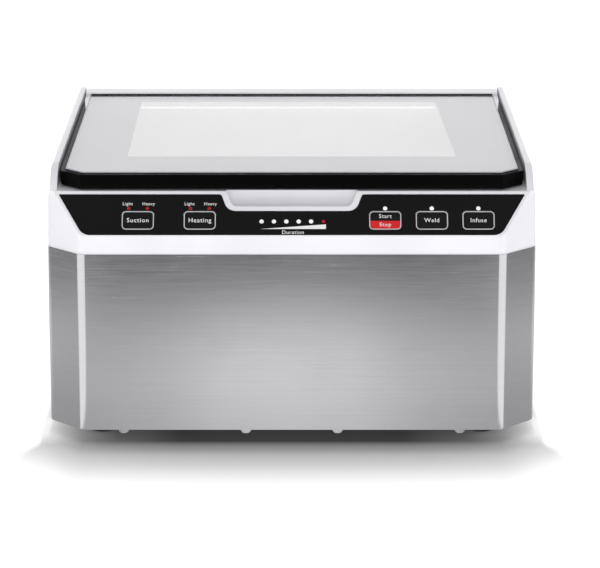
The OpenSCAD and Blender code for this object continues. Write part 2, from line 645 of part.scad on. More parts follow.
// The springs sit in the ends of the barrel, round the pins
spring_r = hinge_pin_r + 2;
spring_l = 6;
module hinge_springs() color("silver") both_sides() {
    turns = 2.5;
    tube([for (i = [0:turns * 14]) let(a = i * 360 / 14) [
        barrel_half + 0.8 - spring_l * i / (turns * 14) * 0.85,
        hinge_y + spring_r * cos(a), hinge_z + spring_r * sin(a)]], 0.5, 8);
}
magnet_x = -118;
magnet_y = fy(lid_front) + 6.5;
module lid_magnet() color("silver") rod_z(3, lid_z0 + 0.1, lid_z0 + 1.6, magnet_x, magnet_y);
module lid_sensor() color("black")
    block(around(magnet_x, 8), around(magnet_y, 3), span(deck_z - wall_t, -4, 0));

// ---- Pump ----

module motor_shell() color("gray") difference() {
    rod_x(motor_r, -motor_l / 2, motor_l / 2, axis_y, pump_z);
    rod_x(motor_r - 2.5, -motor_l / 2 - 1, motor_l / 2 + 1, axis_y, pump_z);
    for (a = [20:40:340], s = [-1, 1]) translate([s * motor_l * 0.38, axis_y, pump_z]) rotate([a, 0, 0])
        translate([-8, -3, motor_r - 4]) cube([16, 6, 6]);
}
stator_half = 26;
rotor_r = 22;
module motor_stator() color("peru") difference() {
    rod_x(motor_r - 2.6, -stator_half, stator_half, axis_y, pump_z);
    rod_x(rotor_r + 0.5, -stator_half - 1, stator_half + 1, axis_y, pump_z);
    for (a = [0:60:300]) translate([0, axis_y, pump_z]) rotate([a, 0, 0])
        translate([-stator_half - 1, -4, rotor_r + 3]) cube([2 * stator_half + 2, 8, motor_r - rotor_r - 11]);
}
module pump_crankshaft() color("silver") {
    rod_x(rotor_r, -stator_half, stator_half, axis_y, pump_z);
    rod_x(shaft_r, -case_x - case_w - 14, case_x + case_w - 4, axis_y, pump_z);
    both_sides() rod_x(eccentric_r, crank_x - 6, crank_x + 6, axis_y + crank_throw, pump_z);
}
bearing_r = shaft_r + 8;
module pump_bearings() color("silver") both_sides() for (x = [case_x, case_x + case_w - 7]) difference() {
    rod_x(bearing_r, x, x + 7, axis_y, pump_z);
    rod_x(shaft_r + run_gap, x - 1, x + 8, axis_y, pump_z);
}
module pump_crankcases() color("gray") both_sides() difference() {
    union() {
        along_x(rounded_box(axis_y - case_half_y, axis_y + case_half_y, pump_z - case_half_z,
            pump_z + case_half_z, 5), case_x, case_x + case_w);
        block([case_x + 2, case_x + case_w - 2], span(axis_y, -44, 40), [mount_z, mount_z + 5]);
    }
    rod_x(bearing_r, case_x - 1, case_x + case_w + 1, axis_y, pump_z);
    rod_x(big_end_r + 7, case_x + 7, case_x + case_w - 7, axis_y, pump_z);
    rod_y(piston_r + 0.3, axis_y, axis_y + case_half_y + 1, crank_x, pump_z);
    for (y = [-38, 35]) rod_z(2.6, mount_z - 1, mount_z + 6, crank_x, axis_y + y);
}
module pump_cylinders() color("silver") both_sides() difference() {
    rod_y(piston_r + 4, axis_y + case_half_y, axis_y + case_half_y + cylinder_l, crank_x, pump_z);
    rod_y(piston_r + 0.15, axis_y + case_half_y - 1, axis_y + case_half_y + cylinder_l + 1, crank_x, pump_z);
}
// Pistons with their rods in one piece, held at mid stroke
module pump_pistons() color("dimgray") both_sides() {
    difference() {
        union() {
            rod_x(big_end_r + 4, crank_x - 5, crank_x + 5, axis_y, pump_z);
            block(around(crank_x, 5), span(axis_y, big_end_r + 2, case_half_y + 15), around(pump_z, 5));
        }
        rod_x(big_end_r, crank_x - 6, crank_x + 6, axis_y, pump_z);
    }
    rod_y(piston_r, axis_y + case_half_y + 14, axis_y + case_half_y + 22, crank_x, pump_z);
}
head_y = axis_y + case_half_y + cylinder_l;
barb_l = 26;
barb_up = 21;
module pump_heads() color("gray") both_sides() difference() {
    union() {
        along_y(rounded_box(crank_x - 28, crank_x + 28, pump_z - 28, pump_z + 28, 5), head_y, head_y + 8);
        for (i = [-4:4])
            block([crank_x - 26, crank_x + 26], [head_y + 7, head_y + 16], around(pump_z + i * 6, 1));
        rod_y(3.9, head_y + 7, head_y + barb_l, crank_x, pump_z + barb_up);
    }
    rod_y(2.4, head_y + 2, head_y + barb_l + 1, crank_x, pump_z + barb_up);
}
fan_hub_x = -case_x - case_w - 12;
module pump_fan() color("black") {
    difference() {
        rod_x(shaft_r + 4, fan_hub_x, fan_hub_x + 9, axis_y, pump_z);
        rod_x(shaft_r, fan_hub_x - 1, fan_hub_x + 10, axis_y, pump_z);
    }
    for (a = [0:45:315])
        translate([fan_hub_x, axis_y, pump_z]) rotate([a, 0, 0]) translate([1, -1, shaft_r + 3])
            cube([7, 2, pump_fan_r - shaft_r - 3]);
    difference() {
        rod_x(pump_fan_r - 4, fan_hub_x + 7, fan_hub_x + 8.5, axis_y, pump_z);
        rod_x(shaft_r + 3, fan_hub_x + 6, fan_hub_x + 9, axis_y, pump_z);
    }
}
module pump_mounts() color([0.15, 0.15, 0.15]) both_sides() for (y = [-38, 35])
    difference() {
        union() {
            rod_z(8, base_z, mount_z, crank_x, axis_y + y);
            rod_z(2.5, mount_z - 1, mount_z + 8, crank_x, axis_y + y);
        }
        translate([crank_x, axis_y + y, (base_z + mount_z) / 2])
            rotate_extrude() translate([9.5, 0]) circle(r = 3);
    }

// ---- Power and air ----

core_x = [-140, -84];
core_y = span(fy(body_d - 118), 0, 50);
core_z = span(base_z, 6, 60);
coil_cut = 11;
module transformer_core() color("dimgray") {
    difference() {
        block(core_x, core_y + [10, -10], core_z);
        block(core_x + [coil_cut, -coil_cut], core_y, core_z + [coil_cut, -coil_cut]);
    }
    block(core_x + [21, -21], core_y + [10, -10], core_z + [coil_cut - 1, 1 - coil_cut]);
    for (s = [0, 1]) block(span(core_x[s], -8 * (1 - s), 8 * s), core_y + [10, -10], span(base_z, 0, 1.5));
    for (s = [0, 1]) block(span(core_x[s], -1.5 * (1 - s), 1.5 * s), core_y + [10, -10], span(base_z, 0, 30));
}
module transformer_winding() color("peru") difference() {
    block(core_x + [coil_cut + 0.5, -coil_cut - 0.5], core_y, core_z + [coil_cut + 0.5, -coil_cut - 0.5]);
    block(core_x + [20.6, -20.6], core_y - [1, -1], core_z + [coil_cut - 1, 1 - coil_cut]);
}
board_x = [-58, 60];
board_y = span(fy(body_d - 108), 0, 78);
board_z = base_z + 8;
module standoff_places() for (x = board_x + [5, -5], y = board_y + [5, -5]) translate([x, y, 0]) children();
module power_board() color("darkgreen") difference() {
    block(board_x, board_y, span(board_z, 0, pcb_t));
    standoff_places() rod_z(1.6, board_z - 1, board_z + 4, 0, 0);
}
module board_standoffs() color("gold") standoff_places() {
    translate([0, 0, base_z]) cylinder(r = 3, h = board_z - base_z, $fn = 6);
    rod_z(1.5, board_z - 0.1, board_z + 3, 0, 0);
}
module board_components() color("dimgray") {
    top = board_z + pcb_t;
    for (i = [0:2]) block(span(board_x[0] + 14 + i * 22, 0, 18), span(board_y[0], 12, 40), span(top, 0, 16));
    for (i = [0:1]) rod_z(9, top, top + 26, board_x[1] - 16 - i * 21, board_y[0] + 22);
    block([board_x[0] + 14, board_x[0] + 46], span(board_y[1], -30, -8), span(top, 0, 24));
    for (i = [0:4]) block(span(board_x[1] - 12 - i * 11, -8, 0), span(board_y[1], -18, -8), span(top, 0, 11));
}
manifold_x = [-126, -72];
manifold_y = fy(14);
module valve_manifold() color("silver") difference() {
    block(manifold_x, span(manifold_y, 0, 18), span(base_z, 0, 16));
    for (i = [0:2]) rod_z(3, base_z + 6, base_z + 17, manifold_x[0] + 9 + i * 18, manifold_y + 9);
    rod_x(2.4, manifold_x[1] - 30, manifold_x[1] + 1, manifold_y + 9, base_z + 6);
}
module solenoid_coils() color("navy") for (i = [0:2]) {
    x = manifold_x[0] + 9 + i * 18;
    block(around(x, 8), span(manifold_y, 1, 17), span(base_z, 16, 44));
    rod_z(2.9, base_z + 7, base_z + 50, x, manifold_y + 9);
}
module pressure_sensor() color("black") {
    block([-34, -16], span(manifold_y, 2, 16), span(base_z, 0, 9));
    rod_z(2, base_z + 8, base_z + 18, -25, manifold_y + 9);
}
// Rubber hoses between the barbs
module vacuum_hose() color([0.15, 0.15, 0.15]) {
    from = [crank_x, head_y + barb_l + 0.4, pump_z + barb_up];
    to = [port_x, port_y, tub_z0 - 16.4];
    tube(bezier(from, from + [0, 26, 0], to - [0, 0, 36], to, 20), 3.6);
}
module seal_air_hose() color([0.15, 0.15, 0.15]) {
    from = [manifold_x[1] + 0.4, manifold_y + 9, base_z + 6];
    to = [-lift_pitch / 2, bar_y, tub_z0 - 7.4];
    tube(bezier(from, from + [34, 0, 0], to - [0, 0, 44], to, 24), 2.6);
}
module cooling_fan_frame() color([0.12, 0.12, 0.12]) {
    y1 = cover_y - fit_gap;
    fan_hole = fan_w / 2 - 5;
    difference() {
        block(around(fan_x, fan_w / 2), [y1 - fan_d, y1], around(inlet_z, fan_w / 2));
        rod_y(fan_w / 2 - 2, y1 - fan_d - 1, y1 + 1, fan_x, inlet_z);
        for (x = [-1, 1], z = [-1, 1])
            rod_y(2.1, y1 - fan_d - 1, y1 + 1, fan_x + x * fan_hole, inlet_z + z * fan_hole);
    }
    rod_y(9, y1 - fan_d, y1 - fan_d + 2, fan_x, inlet_z);
    for (a = [45:90:315]) translate([fan_x, y1 - fan_d, inlet_z]) rotate([0, a, 0])
        translate([-1.5, 0, 8]) cube([3, 2, fan_w / 2 - 9]);
    rod_y(1.5, y1 - fan_d + 1, y1 - 3, fan_x, inlet_z);
}
module cooling_fan_rotor() color([0.2, 0.2, 0.2]) {
    y0 = cover_y - fit_gap - fan_d + 2.6;
    y1 = cover_y - fit_gap - 1;
    difference() {
        rod_y(11, y0, y1, fan_x, inlet_z);
        rod_y(1.5 + run_gap, y0 - 1, y1 - 2, fan_x, inlet_z);
    }
    for (i = [0:6]) translate([fan_x, (y0 + y1) / 2, inlet_z]) rotate([0, i * 360 / 7, 0])
        translate([0, 0, 10.4]) rotate([0, 0, 35]) translate([-0.8, -4, 0]) cube([1.6, 8, fan_w / 2 - 14.5]);
}
module power_inlet() color([0.1, 0.1, 0.1]) difference() {
    union() {
        along_y(rounded_box(inlet_x - 15.5, inlet_x + 15.5, inlet_z - 12.5, inlet_z + 12.5, 2.5),
            fy(body_d), fy(total_d));
        block(around(inlet_x, 13.7), [cover_y - 20, fy(body_d) + 0.1], around(inlet_z, 10));
    }
    along_y([[inlet_x - 12, inlet_z - 8], [inlet_x + 12, inlet_z - 8], [inlet_x + 12, inlet_z + 3],
        [inlet_x + 7, inlet_z + 8], [inlet_x - 7, inlet_z + 8], [inlet_x - 12, inlet_z + 3]],
        fy(total_d) - 17, fy(total_d) + 1);
    inlet_pin_shapes(0.02);
}
module inlet_pin_shapes(grow) for (p = [[-7, -1], [7, -1], [0, 3]])
    block(span(inlet_x + p.x, -1 - grow, 1 + grow), [fy(total_d) - 30, fy(total_d) - 6],
        span(inlet_z + p.y, -2 - grow, 2 + grow));
module inlet_pins() color("gold") inlet_pin_shapes(0);
rocker_y = fy(body_d) - 2;
module switch_bezel() color([0.1, 0.1, 0.1]) difference() {
    union() {
        along_y(rounded_box(switch_x - 15.5, switch_x + 15.5, inlet_z - 12.5, inlet_z + 12.5, 2.5),
            fy(body_d), fy(total_d));
        block(around(switch_x, 13.7), [cover_y - 18, fy(body_d) + 0.1], around(inlet_z, 10));
    }
    block(around(switch_x, 12), [rocker_y - 9, fy(total_d) + 1], around(inlet_z, 8.6));
    both_sides_of(switch_x) rod_x(1.5 + run_gap, switch_x + 11, switch_x + 12.8, rocker_y, inlet_z);
}
module both_sides_of(x) { children(); translate([2 * x, 0, 0]) mirror([1, 0, 0]) children(); }
// The rocker at rest leans half its swing to the off side
module power_rocker() color([0.15, 0.15, 0.15]) {
    proud = fy(total_d) - rocker_y - 0.4;
    translate([0, rocker_y, inlet_z]) rotate([rocker_swing / 2, 0, 0]) {
        along_x([[-3, -4], [-3, 4], [0, 7.6], [proud - 1.4, 7.6], [proud - 2.4, 0],
            [proud - 1.4, -7.6], [0, -7.6]], switch_x - 11.5, switch_x + 11.5);
        both_sides_of(switch_x) rod_x(1.5, switch_x + 11, switch_x + 12.6, 0, 0);
    }
}

steel_wrap();
base_plate();
rear_cover();
top_housing();
rubber_feet();
foot_screws();
flange_screws();
control_overlay();
key_left_outer();
key_left_inner();
key_right_inner();
key_right_middle();
key_right_outer();
clear_lamps();
red_lamps();
control_board();
tact_switches();
chamber_tub();
chamber_gasket();
seal_bar();
heating_element();
lift_pins();
lift_cylinders();
counter_bar();
suction_port();
lid_frame();
lid_glass();
lid_hinge_bar();
hinge_pins();
hinge_springs();
lid_magnet();
lid_sensor();
motor_shell();
motor_stator();
pump_crankshaft();
pump_bearings();
pump_crankcases();
pump_cylinders();
pump_pistons();
pump_heads();
pump_fan();
pump_mounts();
transformer_core();
transformer_winding();
power_board();
board_components();
board_standoffs();
valve_manifold();
solenoid_coils();
pressure_sensor();
vacuum_hose();
seal_air_hose();
cooling_fan_frame();
cooling_fan_rotor();
power_inlet();
inlet_pins();
switch_bezel();
power_rocker();
rear_screws();
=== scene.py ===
import math

import bmesh
import bpy
from mathutils import Matrix, Vector


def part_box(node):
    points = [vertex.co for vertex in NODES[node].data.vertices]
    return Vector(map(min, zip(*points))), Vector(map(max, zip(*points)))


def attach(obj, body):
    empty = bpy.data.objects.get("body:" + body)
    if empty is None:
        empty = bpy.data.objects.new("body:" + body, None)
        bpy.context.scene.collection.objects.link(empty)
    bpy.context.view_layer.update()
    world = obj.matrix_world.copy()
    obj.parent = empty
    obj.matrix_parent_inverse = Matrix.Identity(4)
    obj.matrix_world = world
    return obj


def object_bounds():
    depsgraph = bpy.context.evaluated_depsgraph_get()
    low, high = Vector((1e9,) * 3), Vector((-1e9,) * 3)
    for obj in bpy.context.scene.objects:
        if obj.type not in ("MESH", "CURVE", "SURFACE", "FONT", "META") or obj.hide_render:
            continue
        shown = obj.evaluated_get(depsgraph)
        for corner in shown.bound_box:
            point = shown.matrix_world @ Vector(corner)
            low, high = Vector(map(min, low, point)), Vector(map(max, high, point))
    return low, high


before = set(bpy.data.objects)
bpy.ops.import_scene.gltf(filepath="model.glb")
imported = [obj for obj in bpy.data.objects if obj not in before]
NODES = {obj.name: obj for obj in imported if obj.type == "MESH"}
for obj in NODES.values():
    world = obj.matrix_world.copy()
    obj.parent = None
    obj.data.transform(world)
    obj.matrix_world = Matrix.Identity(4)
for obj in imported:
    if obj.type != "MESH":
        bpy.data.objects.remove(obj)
cad_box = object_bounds()
MM = 0.001

# ---------------------------------------------------------------- sizes shared with the CAD part
# the control slope: its foot in metres, its rise and run in millimetres
SLOPE_FOOT = Vector((0, -0.1670, 0.1513))
SLOPE_RISE = 28.2
SLOPE_RUN = 19.5
SLOPE_ANGLE = math.atan2(SLOPE_RISE, SLOPE_RUN)
SLOPE_OUT = Vector((0, -math.sin(SLOPE_ANGLE), math.cos(SLOPE_ANGLE)))
# keys and prints on the slope, in millimetres: X and AT across it from the middle, V up it from its foot
KEY_X = {"key_left_outer": -108.9, "key_left_inner": -65.1, "key_right_inner": 66.1,
         "key_right_middle": 99.1, "key_right_outer": 132.1}
KEY_V = 11.9
KEY_SIZE = (23.1, 14.3)
KEY_ROUND = 3.0
KEY_RIM = 0.62
KEY_MARGIN = 0.25
RED_MARGIN = 0.1
RED_TOP = -0.3
LEGEND_V = 24.4
LEGEND_OUT = 7.4
WEDGE = [(-22.0, 5.4), (24.1, 5.4), (24.1, 8.9)]
DURATION_AT = (0.8, 2.8)
# the clear window of the lid, in metres
WINDOW_HALF = 119.9 * MM
WINDOW_REAR_LEFT = -119.8 * MM
WINDOW_REAR_RIGHT = 114.3 * MM
WINDOW_FRONT = 59.7 * MM
WINDOW_BACK = 17.8 * MM
WINDOW_CORNER = 1.0 * MM
LID_RIM = 0.4 * MM
# how thick a print is, in metres, and how far it and a word stand off the plastic, in millimetres
INK = 0.04 * MM
PRINT_GAP = 0.01
WORD_GAP = 0.05
# letters: how much bolder, how far apart, a capital's height by the type's size, and how finely curved
BOLD = 0.004
LETTER_SPACING = 1.12
CAPITAL = 0.7
CURVE_STEPS = 3


# ---------------------------------------------------------------- camera, studio and light
CAMERA_PLACE = (0, -2.1105, 0.6371)
CAMERA_TILT = math.radians(75)
CAMERA_LENS = 170.29
CAMERA_FILM = 36
CAMERA_SHIFT = 0.01367
CAMERA_REACH = 50


def camera():
    data = bpy.data.cameras.new("camera")
    data.lens, data.sensor_width = CAMERA_LENS, CAMERA_FILM
    data.shift_x = CAMERA_SHIFT
    data.clip_end = CAMERA_REACH
    obj = bpy.data.objects.new("camera", data)
    obj.location = CAMERA_PLACE
    obj.rotation_euler = (CAMERA_TILT, 0, 0)
    bpy.context.collection.objects.link(obj)
    bpy.context.scene.camera = obj


def ramp(nodes, stops, smooth=False):
    """A colour ramp through (place, grey or colour) stops."""
    node = nodes.new("ShaderNodeValToRGB")
    node.color_ramp.interpolation = "B_SPLINE" if smooth else "LINEAR"
    elements = node.color_ramp.elements
    while len(elements) < len(stops):
        elements.new(1.0)
    for element, (at, colour) in zip(elements, stops):
        element.position = at
        tone = (colour,) * 3 if isinstance(colour, (int, float)) else colour
        element.color = (*tone, 1)
    return node


def maths(nodes, links, operation, a, b=None, clamp=False):
    """A Math node; a and b are sockets or numbers."""
    node = nodes.new("ShaderNodeMath")
    node.operation, node.use_clamp = operation, clamp
    for slot, value in ((0, a), (1, b)):
        if value is None:
            continue
        if isinstance(value, (int, float)):
            node.inputs[slot].default_value = value
        else:
            links.new(value, node.inputs[slot])
    return node.outputs[0]


def mix(nodes, links, factor, a, b):
    """A colour Mix node; factor, a and b are sockets, numbers or colours."""
    node = nodes.new("ShaderNodeMix")
    node.data_type = "RGBA"
    for slot, value in ((0, factor), (6, a), (7, b)):
        if isinstance(value, (int, float)) and slot:
            value = (value, value, value)
        if isinstance(value, tuple):
            node.inputs[slot].default_value = (*value, 1)
        elif isinstance(value, (int, float)):
            node.inputs[slot].default_value = value
        else:
            links.new(value, node.inputs[slot])
    return node.outputs[2]


# Light by height above the horizon (the sine of the elevation, from 0 to 1): what lights a
# matt surface from each side, and what a mirror sees there
LIT_FRONT = [(0.0, 3.2), (0.15, 3.2), (0.3, 1.55), (0.45, 0.8), (0.7, 0.45), (1.0, 0.56)]
LIT_SIDE = [(0.0, 0.24), (0.4, 0.26), (1.0, 0.3)]
LIT_BACK = [(0.0, 0.47), (0.4, 1.45), (1.0, 1.5)]
SEEN_FRONT = [(0.0, 0.06), (0.1, 0.1), (0.4, 0.14), (0.7, 0.12), (0.9, 0.2), (1.0, 0.6)]
SEEN_SIDE = [(0.0, 0.95), (0.3, 0.9), (0.7, 0.8), (1.0, 0.6)]
SEEN_BACK = [(0.0, 1.3), (0.15, 1.4), (0.35, 1.45), (0.6, 0.9), (1.0, 0.6)]
SEEN_THROUGH = 1.7
SEEN_BY_CAMERA = 1.0
FRONT_FOCUS = 3.0


def studio_light():
    world = bpy.data.worlds.new("studio")
    bpy.context.scene.world = world
    world.use_nodes = True
    nodes, links = world.node_tree.nodes, world.node_tree.links
    nodes.clear()
    split = nodes.new("ShaderNodeSeparateXYZ")
    links.new(nodes.new("ShaderNodeTexCoord").outputs["Generated"], split.inputs[0])
    x, y, up = split.outputs

    def calc(operation, a, b=None):
        return maths(nodes, links, operation, a, b)

    flat = calc("ADD", calc("MULTIPLY", x, x), calc("MULTIPLY", y, y))
    flat = calc("MAXIMUM", calc("SQRT", flat), 0.001)
    facing = calc("DIVIDE", y, flat)
    to_back = calc("MAXIMUM", facing, 0.0)
    to_front = calc("MAXIMUM", calc("MULTIPLY", facing, -1.0), 0.0)
    to_front = calc("POWER", to_front, FRONT_FOCUS)

    def sky(front, side, back):
        tones = []
        for stops in (front, side, back):
            node = ramp(nodes, stops)
            links.new(up, node.inputs[0])
            tones.append(node.outputs[0])
        around = mix(nodes, links, to_back, tones[1], tones[2])
        return mix(nodes, links, to_front, around, tones[0])

    path = nodes.new("ShaderNodeLightPath")
    lit = sky(LIT_FRONT, LIT_SIDE, LIT_BACK)
    seen = sky(SEEN_FRONT, SEEN_SIDE, SEEN_BACK)
    tone = mix(nodes, links, path.outputs["Is Glossy Ray"], lit, seen)
    tone = mix(nodes, links, path.outputs["Is Transmission Ray"], tone, SEEN_THROUGH)
    tone = mix(nodes, links, path.outputs["Is Camera Ray"], tone, SEEN_BY_CAMERA)
    background = nodes.new("ShaderNodeBackground")
    links.new(tone, background.inputs["Color"])
    output = nodes.new("ShaderNodeOutputWorld")
    links.new(background.outputs[0], output.inputs[0])
    scene = bpy.context.scene
    scene.view_settings.view_transform = "Standard"
    scene.view_settings.look = "None"


# What the metal mirrors of the floor, by distance out from the machine, over 1 m
POOL = [(0.0, 0.73), (0.08, 0.82), (0.14, 1.0), (0.2, 1.12), (0.26, 1.19), (0.31, 0.98),
        (0.36, 0.57), (0.41, 0.25), (0.47, 0.03), (0.6, 0.0), (1.0, 0.0)]
# the same off its two ends
POOL_END = [(0.0, 0.68), (0.05, 0.7), (0.12, 0.74), (0.2, 0.87), (0.27, 1.0), (0.33, 0.78),
            (0.38, 0.56), (0.44, 0.36), (0.5, 0.28), (0.6, 0.26), (1.0, 0.2)]
# how much of that is seen, from the middle of each side outward, over 1 m
POOL_SIDE = [(0.0, 1.0), (0.05, 0.93), (0.1, 0.72), (0.16, 0.6), (0.3, 0.56)]
# and how much of the corner glow is seen, by how far the direction turns to the diagonal
CORNER_TURN = [(0.06, 0.0), (0.34, 1.0)]
CORNER_GLOW = 1.15
# A contact shadow painted into the floor's colour, by distance out from the machine, over 1 m, and the
# painted light added to it
FLOOR_PAINTED_SHADOW = [(0.0, 0.07), (0.011, 0.5), (0.033, 0.96), (0.056, 0.97), (0.11, 0.97)]
FLOOR_PAINTED_LIGHT = [(0.02, 0.0), (0.033, 0.06), (0.056, 0.28), (0.077, 0.58), (0.11, 1.0)]
PAINTED_LIGHT_STRENGTH = 0.55
CORNER_CUT = 0.025
# The painted shade is this many times narrower at the sides, by distance out from the front
SIDE_NARROW = [(0.0, 1.0), (0.02, 0.4), (0.05, 0.22)]
NARROWEST = 15.0
# Painted light under the ends of the front edge: by distance from the middle, and by distance forward
END_PAINTED_LIGHT = [(0.125, 0.0), (0.149, 0.2), (0.157, 0.32), (0.166, 0.48), (0.175, 0.65),
            (0.19, 0.95), (0.2, 1.0)]
END_REACH = [(0.09, 0.0), (0.12, 1.0), (0.155, 0.85), (0.1675, 0.4), (0.179, 0.0)]
# How much of the painted shade is left, from the middle of a side to its ends and beyond
SHADE_HELD = [(0.08, 1.0), (0.137, 0.7), (0.165, 0.45), (0.185, 0.15), (0.2, 0.0)]
FLOOR_HALF = 6.0
FLOOR_DROP = 0.2 * MM


def floor_material():
    material = bpy.data.materials.new("floor")
    material.use_nodes = True
    nodes, links = material.node_tree.nodes, material.node_tree.links
    nodes.clear()
    split = nodes.new("ShaderNodeSeparateXYZ")
    links.new(nodes.new("ShaderNodeTexCoord").outputs["Object"], split.inputs[0])

    def calc(operation, a, b=None, clamp=False):
        return maths(nodes, links, operation, a, b, clamp)

    x = calc("ABSOLUTE", split.outputs[0])
    y = calc("ABSOLUTE", split.outputs[1])
    out_x = calc("MAXIMUM", calc("SUBTRACT", x, cad_box[1].x), 0.0)
    out_y = calc("MAXIMUM", calc("SUBTRACT", y, cad_box[1].y), 0.0)

    def graded(stops, value, smooth=False):
        node = ramp(nodes, stops, smooth)
        links.new(value, node.inputs[0])
        return node.outputs[0]

    def length(a, b):
        square = calc("ADD", calc("MULTIPLY", a, a), calc("MULTIPLY", b, b))
        return calc("SQRT", calc("MAXIMUM", square, 1e-6))

    # what the metal mirrors: a bright pool off each side, and a glow off the corners
    past = calc("MAXIMUM", out_x, out_y)
    pool = mix(nodes, links, calc("GREATER_THAN", out_x, out_y), graded(POOL, past, True),
               graded(POOL_END, past, True))
    pool = mix(nodes, links, graded(POOL_SIDE, calc("MINIMUM", x, y)), 0.0, pool)
    far = length(out_x, out_y)
    turn = calc("DIVIDE", calc("MULTIPLY", out_x, out_y), calc("MULTIPLY", far, far))
    corner = graded(CORNER_TURN, calc("MULTIPLY", turn, 2.0))
    glow = nodes.new("ShaderNodeEmission")
    links.new(mix(nodes, links, corner, pool, CORNER_GLOW), glow.inputs["Color"])

    # what shows: a contact shadow painted into the floor's colour, and painted light, that keep the shadow
    # close to the machine
    past_cut = calc("SUBTRACT", calc("ADD", x, y), cad_box[1].x + cad_box[1].y - CORNER_CUT)
    narrow = calc("MULTIPLY", graded(SIDE_NARROW, out_y), NARROWEST)
    away = calc("MAXIMUM", length(calc("MULTIPLY", out_x, narrow), out_y), past_cut)
    white = nodes.new("ShaderNodeBsdfDiffuse")
    painted_shadow = graded(FLOOR_PAINTED_SHADOW, away)
    tone = mix(nodes, links, graded(SHADE_HELD, x), FLOOR_PAINTED_SHADOW[-1][1], painted_shadow)
    links.new(tone, white.inputs["Color"])
    # painted light: an emission that lifts the floor away from the machine and under the ends of its front
    # edge
    rise = nodes.new("ShaderNodeEmission")
    ends = calc("MULTIPLY", graded(END_PAINTED_LIGHT, x), graded(END_REACH, y))
    links.new(calc("MAXIMUM", graded(FLOOR_PAINTED_LIGHT, away), ends), rise.inputs["Color"])
    rise.inputs["Strength"].default_value = PAINTED_LIGHT_STRENGTH
    both = nodes.new("ShaderNodeAddShader")
    links.new(white.outputs[0], both.inputs[0])
    links.new(rise.outputs[0], both.inputs[1])
    choose = nodes.new("ShaderNodeMixShader")
    path = nodes.new("ShaderNodeLightPath")
    mirrored = calc("SUBTRACT", path.outputs["Is Glossy Ray"], path.outputs["Is Transmission Ray"], True)
    links.new(mirrored, choose.inputs[0])
    links.new(both.outputs[0], choose.inputs[1])
    links.new(glow.outputs[0], choose.inputs[2])
    links.new(choose.outputs[0], nodes.new("ShaderNodeOutputMaterial").inputs[0])
    material.cycles.emission_sampling = "NONE"
    return material


def floor():
    mesh = bpy.data.meshes.new("floor")
    corners = ((-1, -1), (1, -1), (1, 1), (-1, 1))
    mesh.from_pydata([(sx * FLOOR_HALF, sy * FLOOR_HALF, -FLOOR_DROP) for sx, sy in corners],
                     [], [(0, 1, 2, 3)])
    mesh.materials.append(floor_material())
    obj = bpy.data.objects.new("floor", mesh)
    bpy.context.collection.objects.link(obj)


# ---------------------------------------------------------------- effects that several finishes share
def effect(name, inputs, outputs):
    """An empty node group with number or vector inputs and number outputs."""
    tree = bpy.data.node_groups.new(name, "ShaderNodeTree")
    for label, value in inputs.items():
        kind = "NodeSocketVector" if isinstance(value, tuple) else "NodeSocketFloat"
        tree.interface.new_socket(label, in_out="INPUT", socket_type=kind).default_value = value
    for label in outputs:
        tree.interface.new_socket(label, in_out="OUTPUT", socket_type="NodeSocketFloat")
    return tree, tree.nodes.new("NodeGroupInput").outputs, tree.nodes.new("NodeGroupOutput").inputs


def noise(nodes, links, place, scale, detail=2.0, roughness=0.5):
    node = nodes.new("ShaderNodeTexNoise")
    node.inputs["Scale"].default_value = scale
    node.inputs["Detail"].default_value = detail
    node.inputs["Roughness"].default_value = roughness
    links.new(place, node.inputs["Vector"])
    return node.outputs[0]


def stretch(nodes, links, place, by):
    """The place with each of its axes scaled by a socket or a vector."""
    node = nodes.new("ShaderNodeVectorMath")
    node.operation = "MULTIPLY"
    links.new(place, node.inputs[0])
    if isinstance(by, tuple):
        node.inputs[1].default_value = by
    else:
        links.new(by, node.inputs[1])
    return node.outputs[0]


def spread(nodes, links, value, low, high):
    """Stretches a mask so that low becomes 0 and high becomes 1."""
    node = nodes.new("ShaderNodeMapRange")
    links.new(value, node.inputs["Value"])
    node.inputs["From Min"].default_value = low
    node.inputs["From Max"].default_value = high
    return node.outputs[0]


def brushed_lines():
    """Long fine scratches. Stretch gives how many per metre along each axis."""
    tree, given, out = effect("brushed_lines", {"Place": (0.0, 0.0, 0.0), "Stretch": (12.0, 12.0, 2600.0)},
                              ["Lines", "Bands", "Height"])
    nodes, links = tree.nodes, tree.links
    fine = noise(nodes, links, stretch(nodes, links, given["Place"], given["Stretch"]), 1.0, 4.0, 0.65)
    coarse = noise(nodes, links, stretch(nodes, links, given["Place"], given["Stretch"]), 0.22)
    links.new(spread(nodes, links, fine, 0.3, 0.7), out["Lines"])
    links.new(spread(nodes, links, coarse, 0.35, 0.65), out["Bands"])
    links.new(fine, out["Height"])
    return tree


def moulded_grain():
    """The fine even texture of an injection mould. Fineness is in grains per metre."""
    tree, given, out = effect("moulded_grain", {"Place": (0.0, 0.0, 0.0), "Fineness": 1500.0},
                              ["Tone", "Height"])
    nodes, links = tree.nodes, tree.links
    grains = nodes.new("ShaderNodeTexVoronoi")
    grains.feature = "SMOOTH_F1"
    links.new(given["Place"], grains.inputs["Vector"])
    links.new(given["Fineness"], grains.inputs["Scale"])
    links.new(grains.outputs["Distance"], out["Height"])
    links.new(spread(nodes, links, noise(nodes, links, given["Place"], 18.0, 3.0), 0.3, 0.7), out["Tone"])
    return tree


def hand_smudges():
    """Faint wiped patches and prints that change the gloss."""
    tree, given, out = effect("hand_smudges", {"Place": (0.0, 0.0, 0.0)}, ["Smudge"])
    nodes, links = tree.nodes, tree.links
    patches = spread(nodes, links, noise(nodes, links, given["Place"], 22.0, 4.0, 0.6), 0.45, 0.75)
    wipes = noise(nodes, links, stretch(nodes, links, given["Place"], (30.0, 220.0, 220.0)), 1.0, 3.0)
    links.new(maths(nodes, links, "MULTIPLY", patches, wipes, clamp=True), out["Smudge"])
    return tree


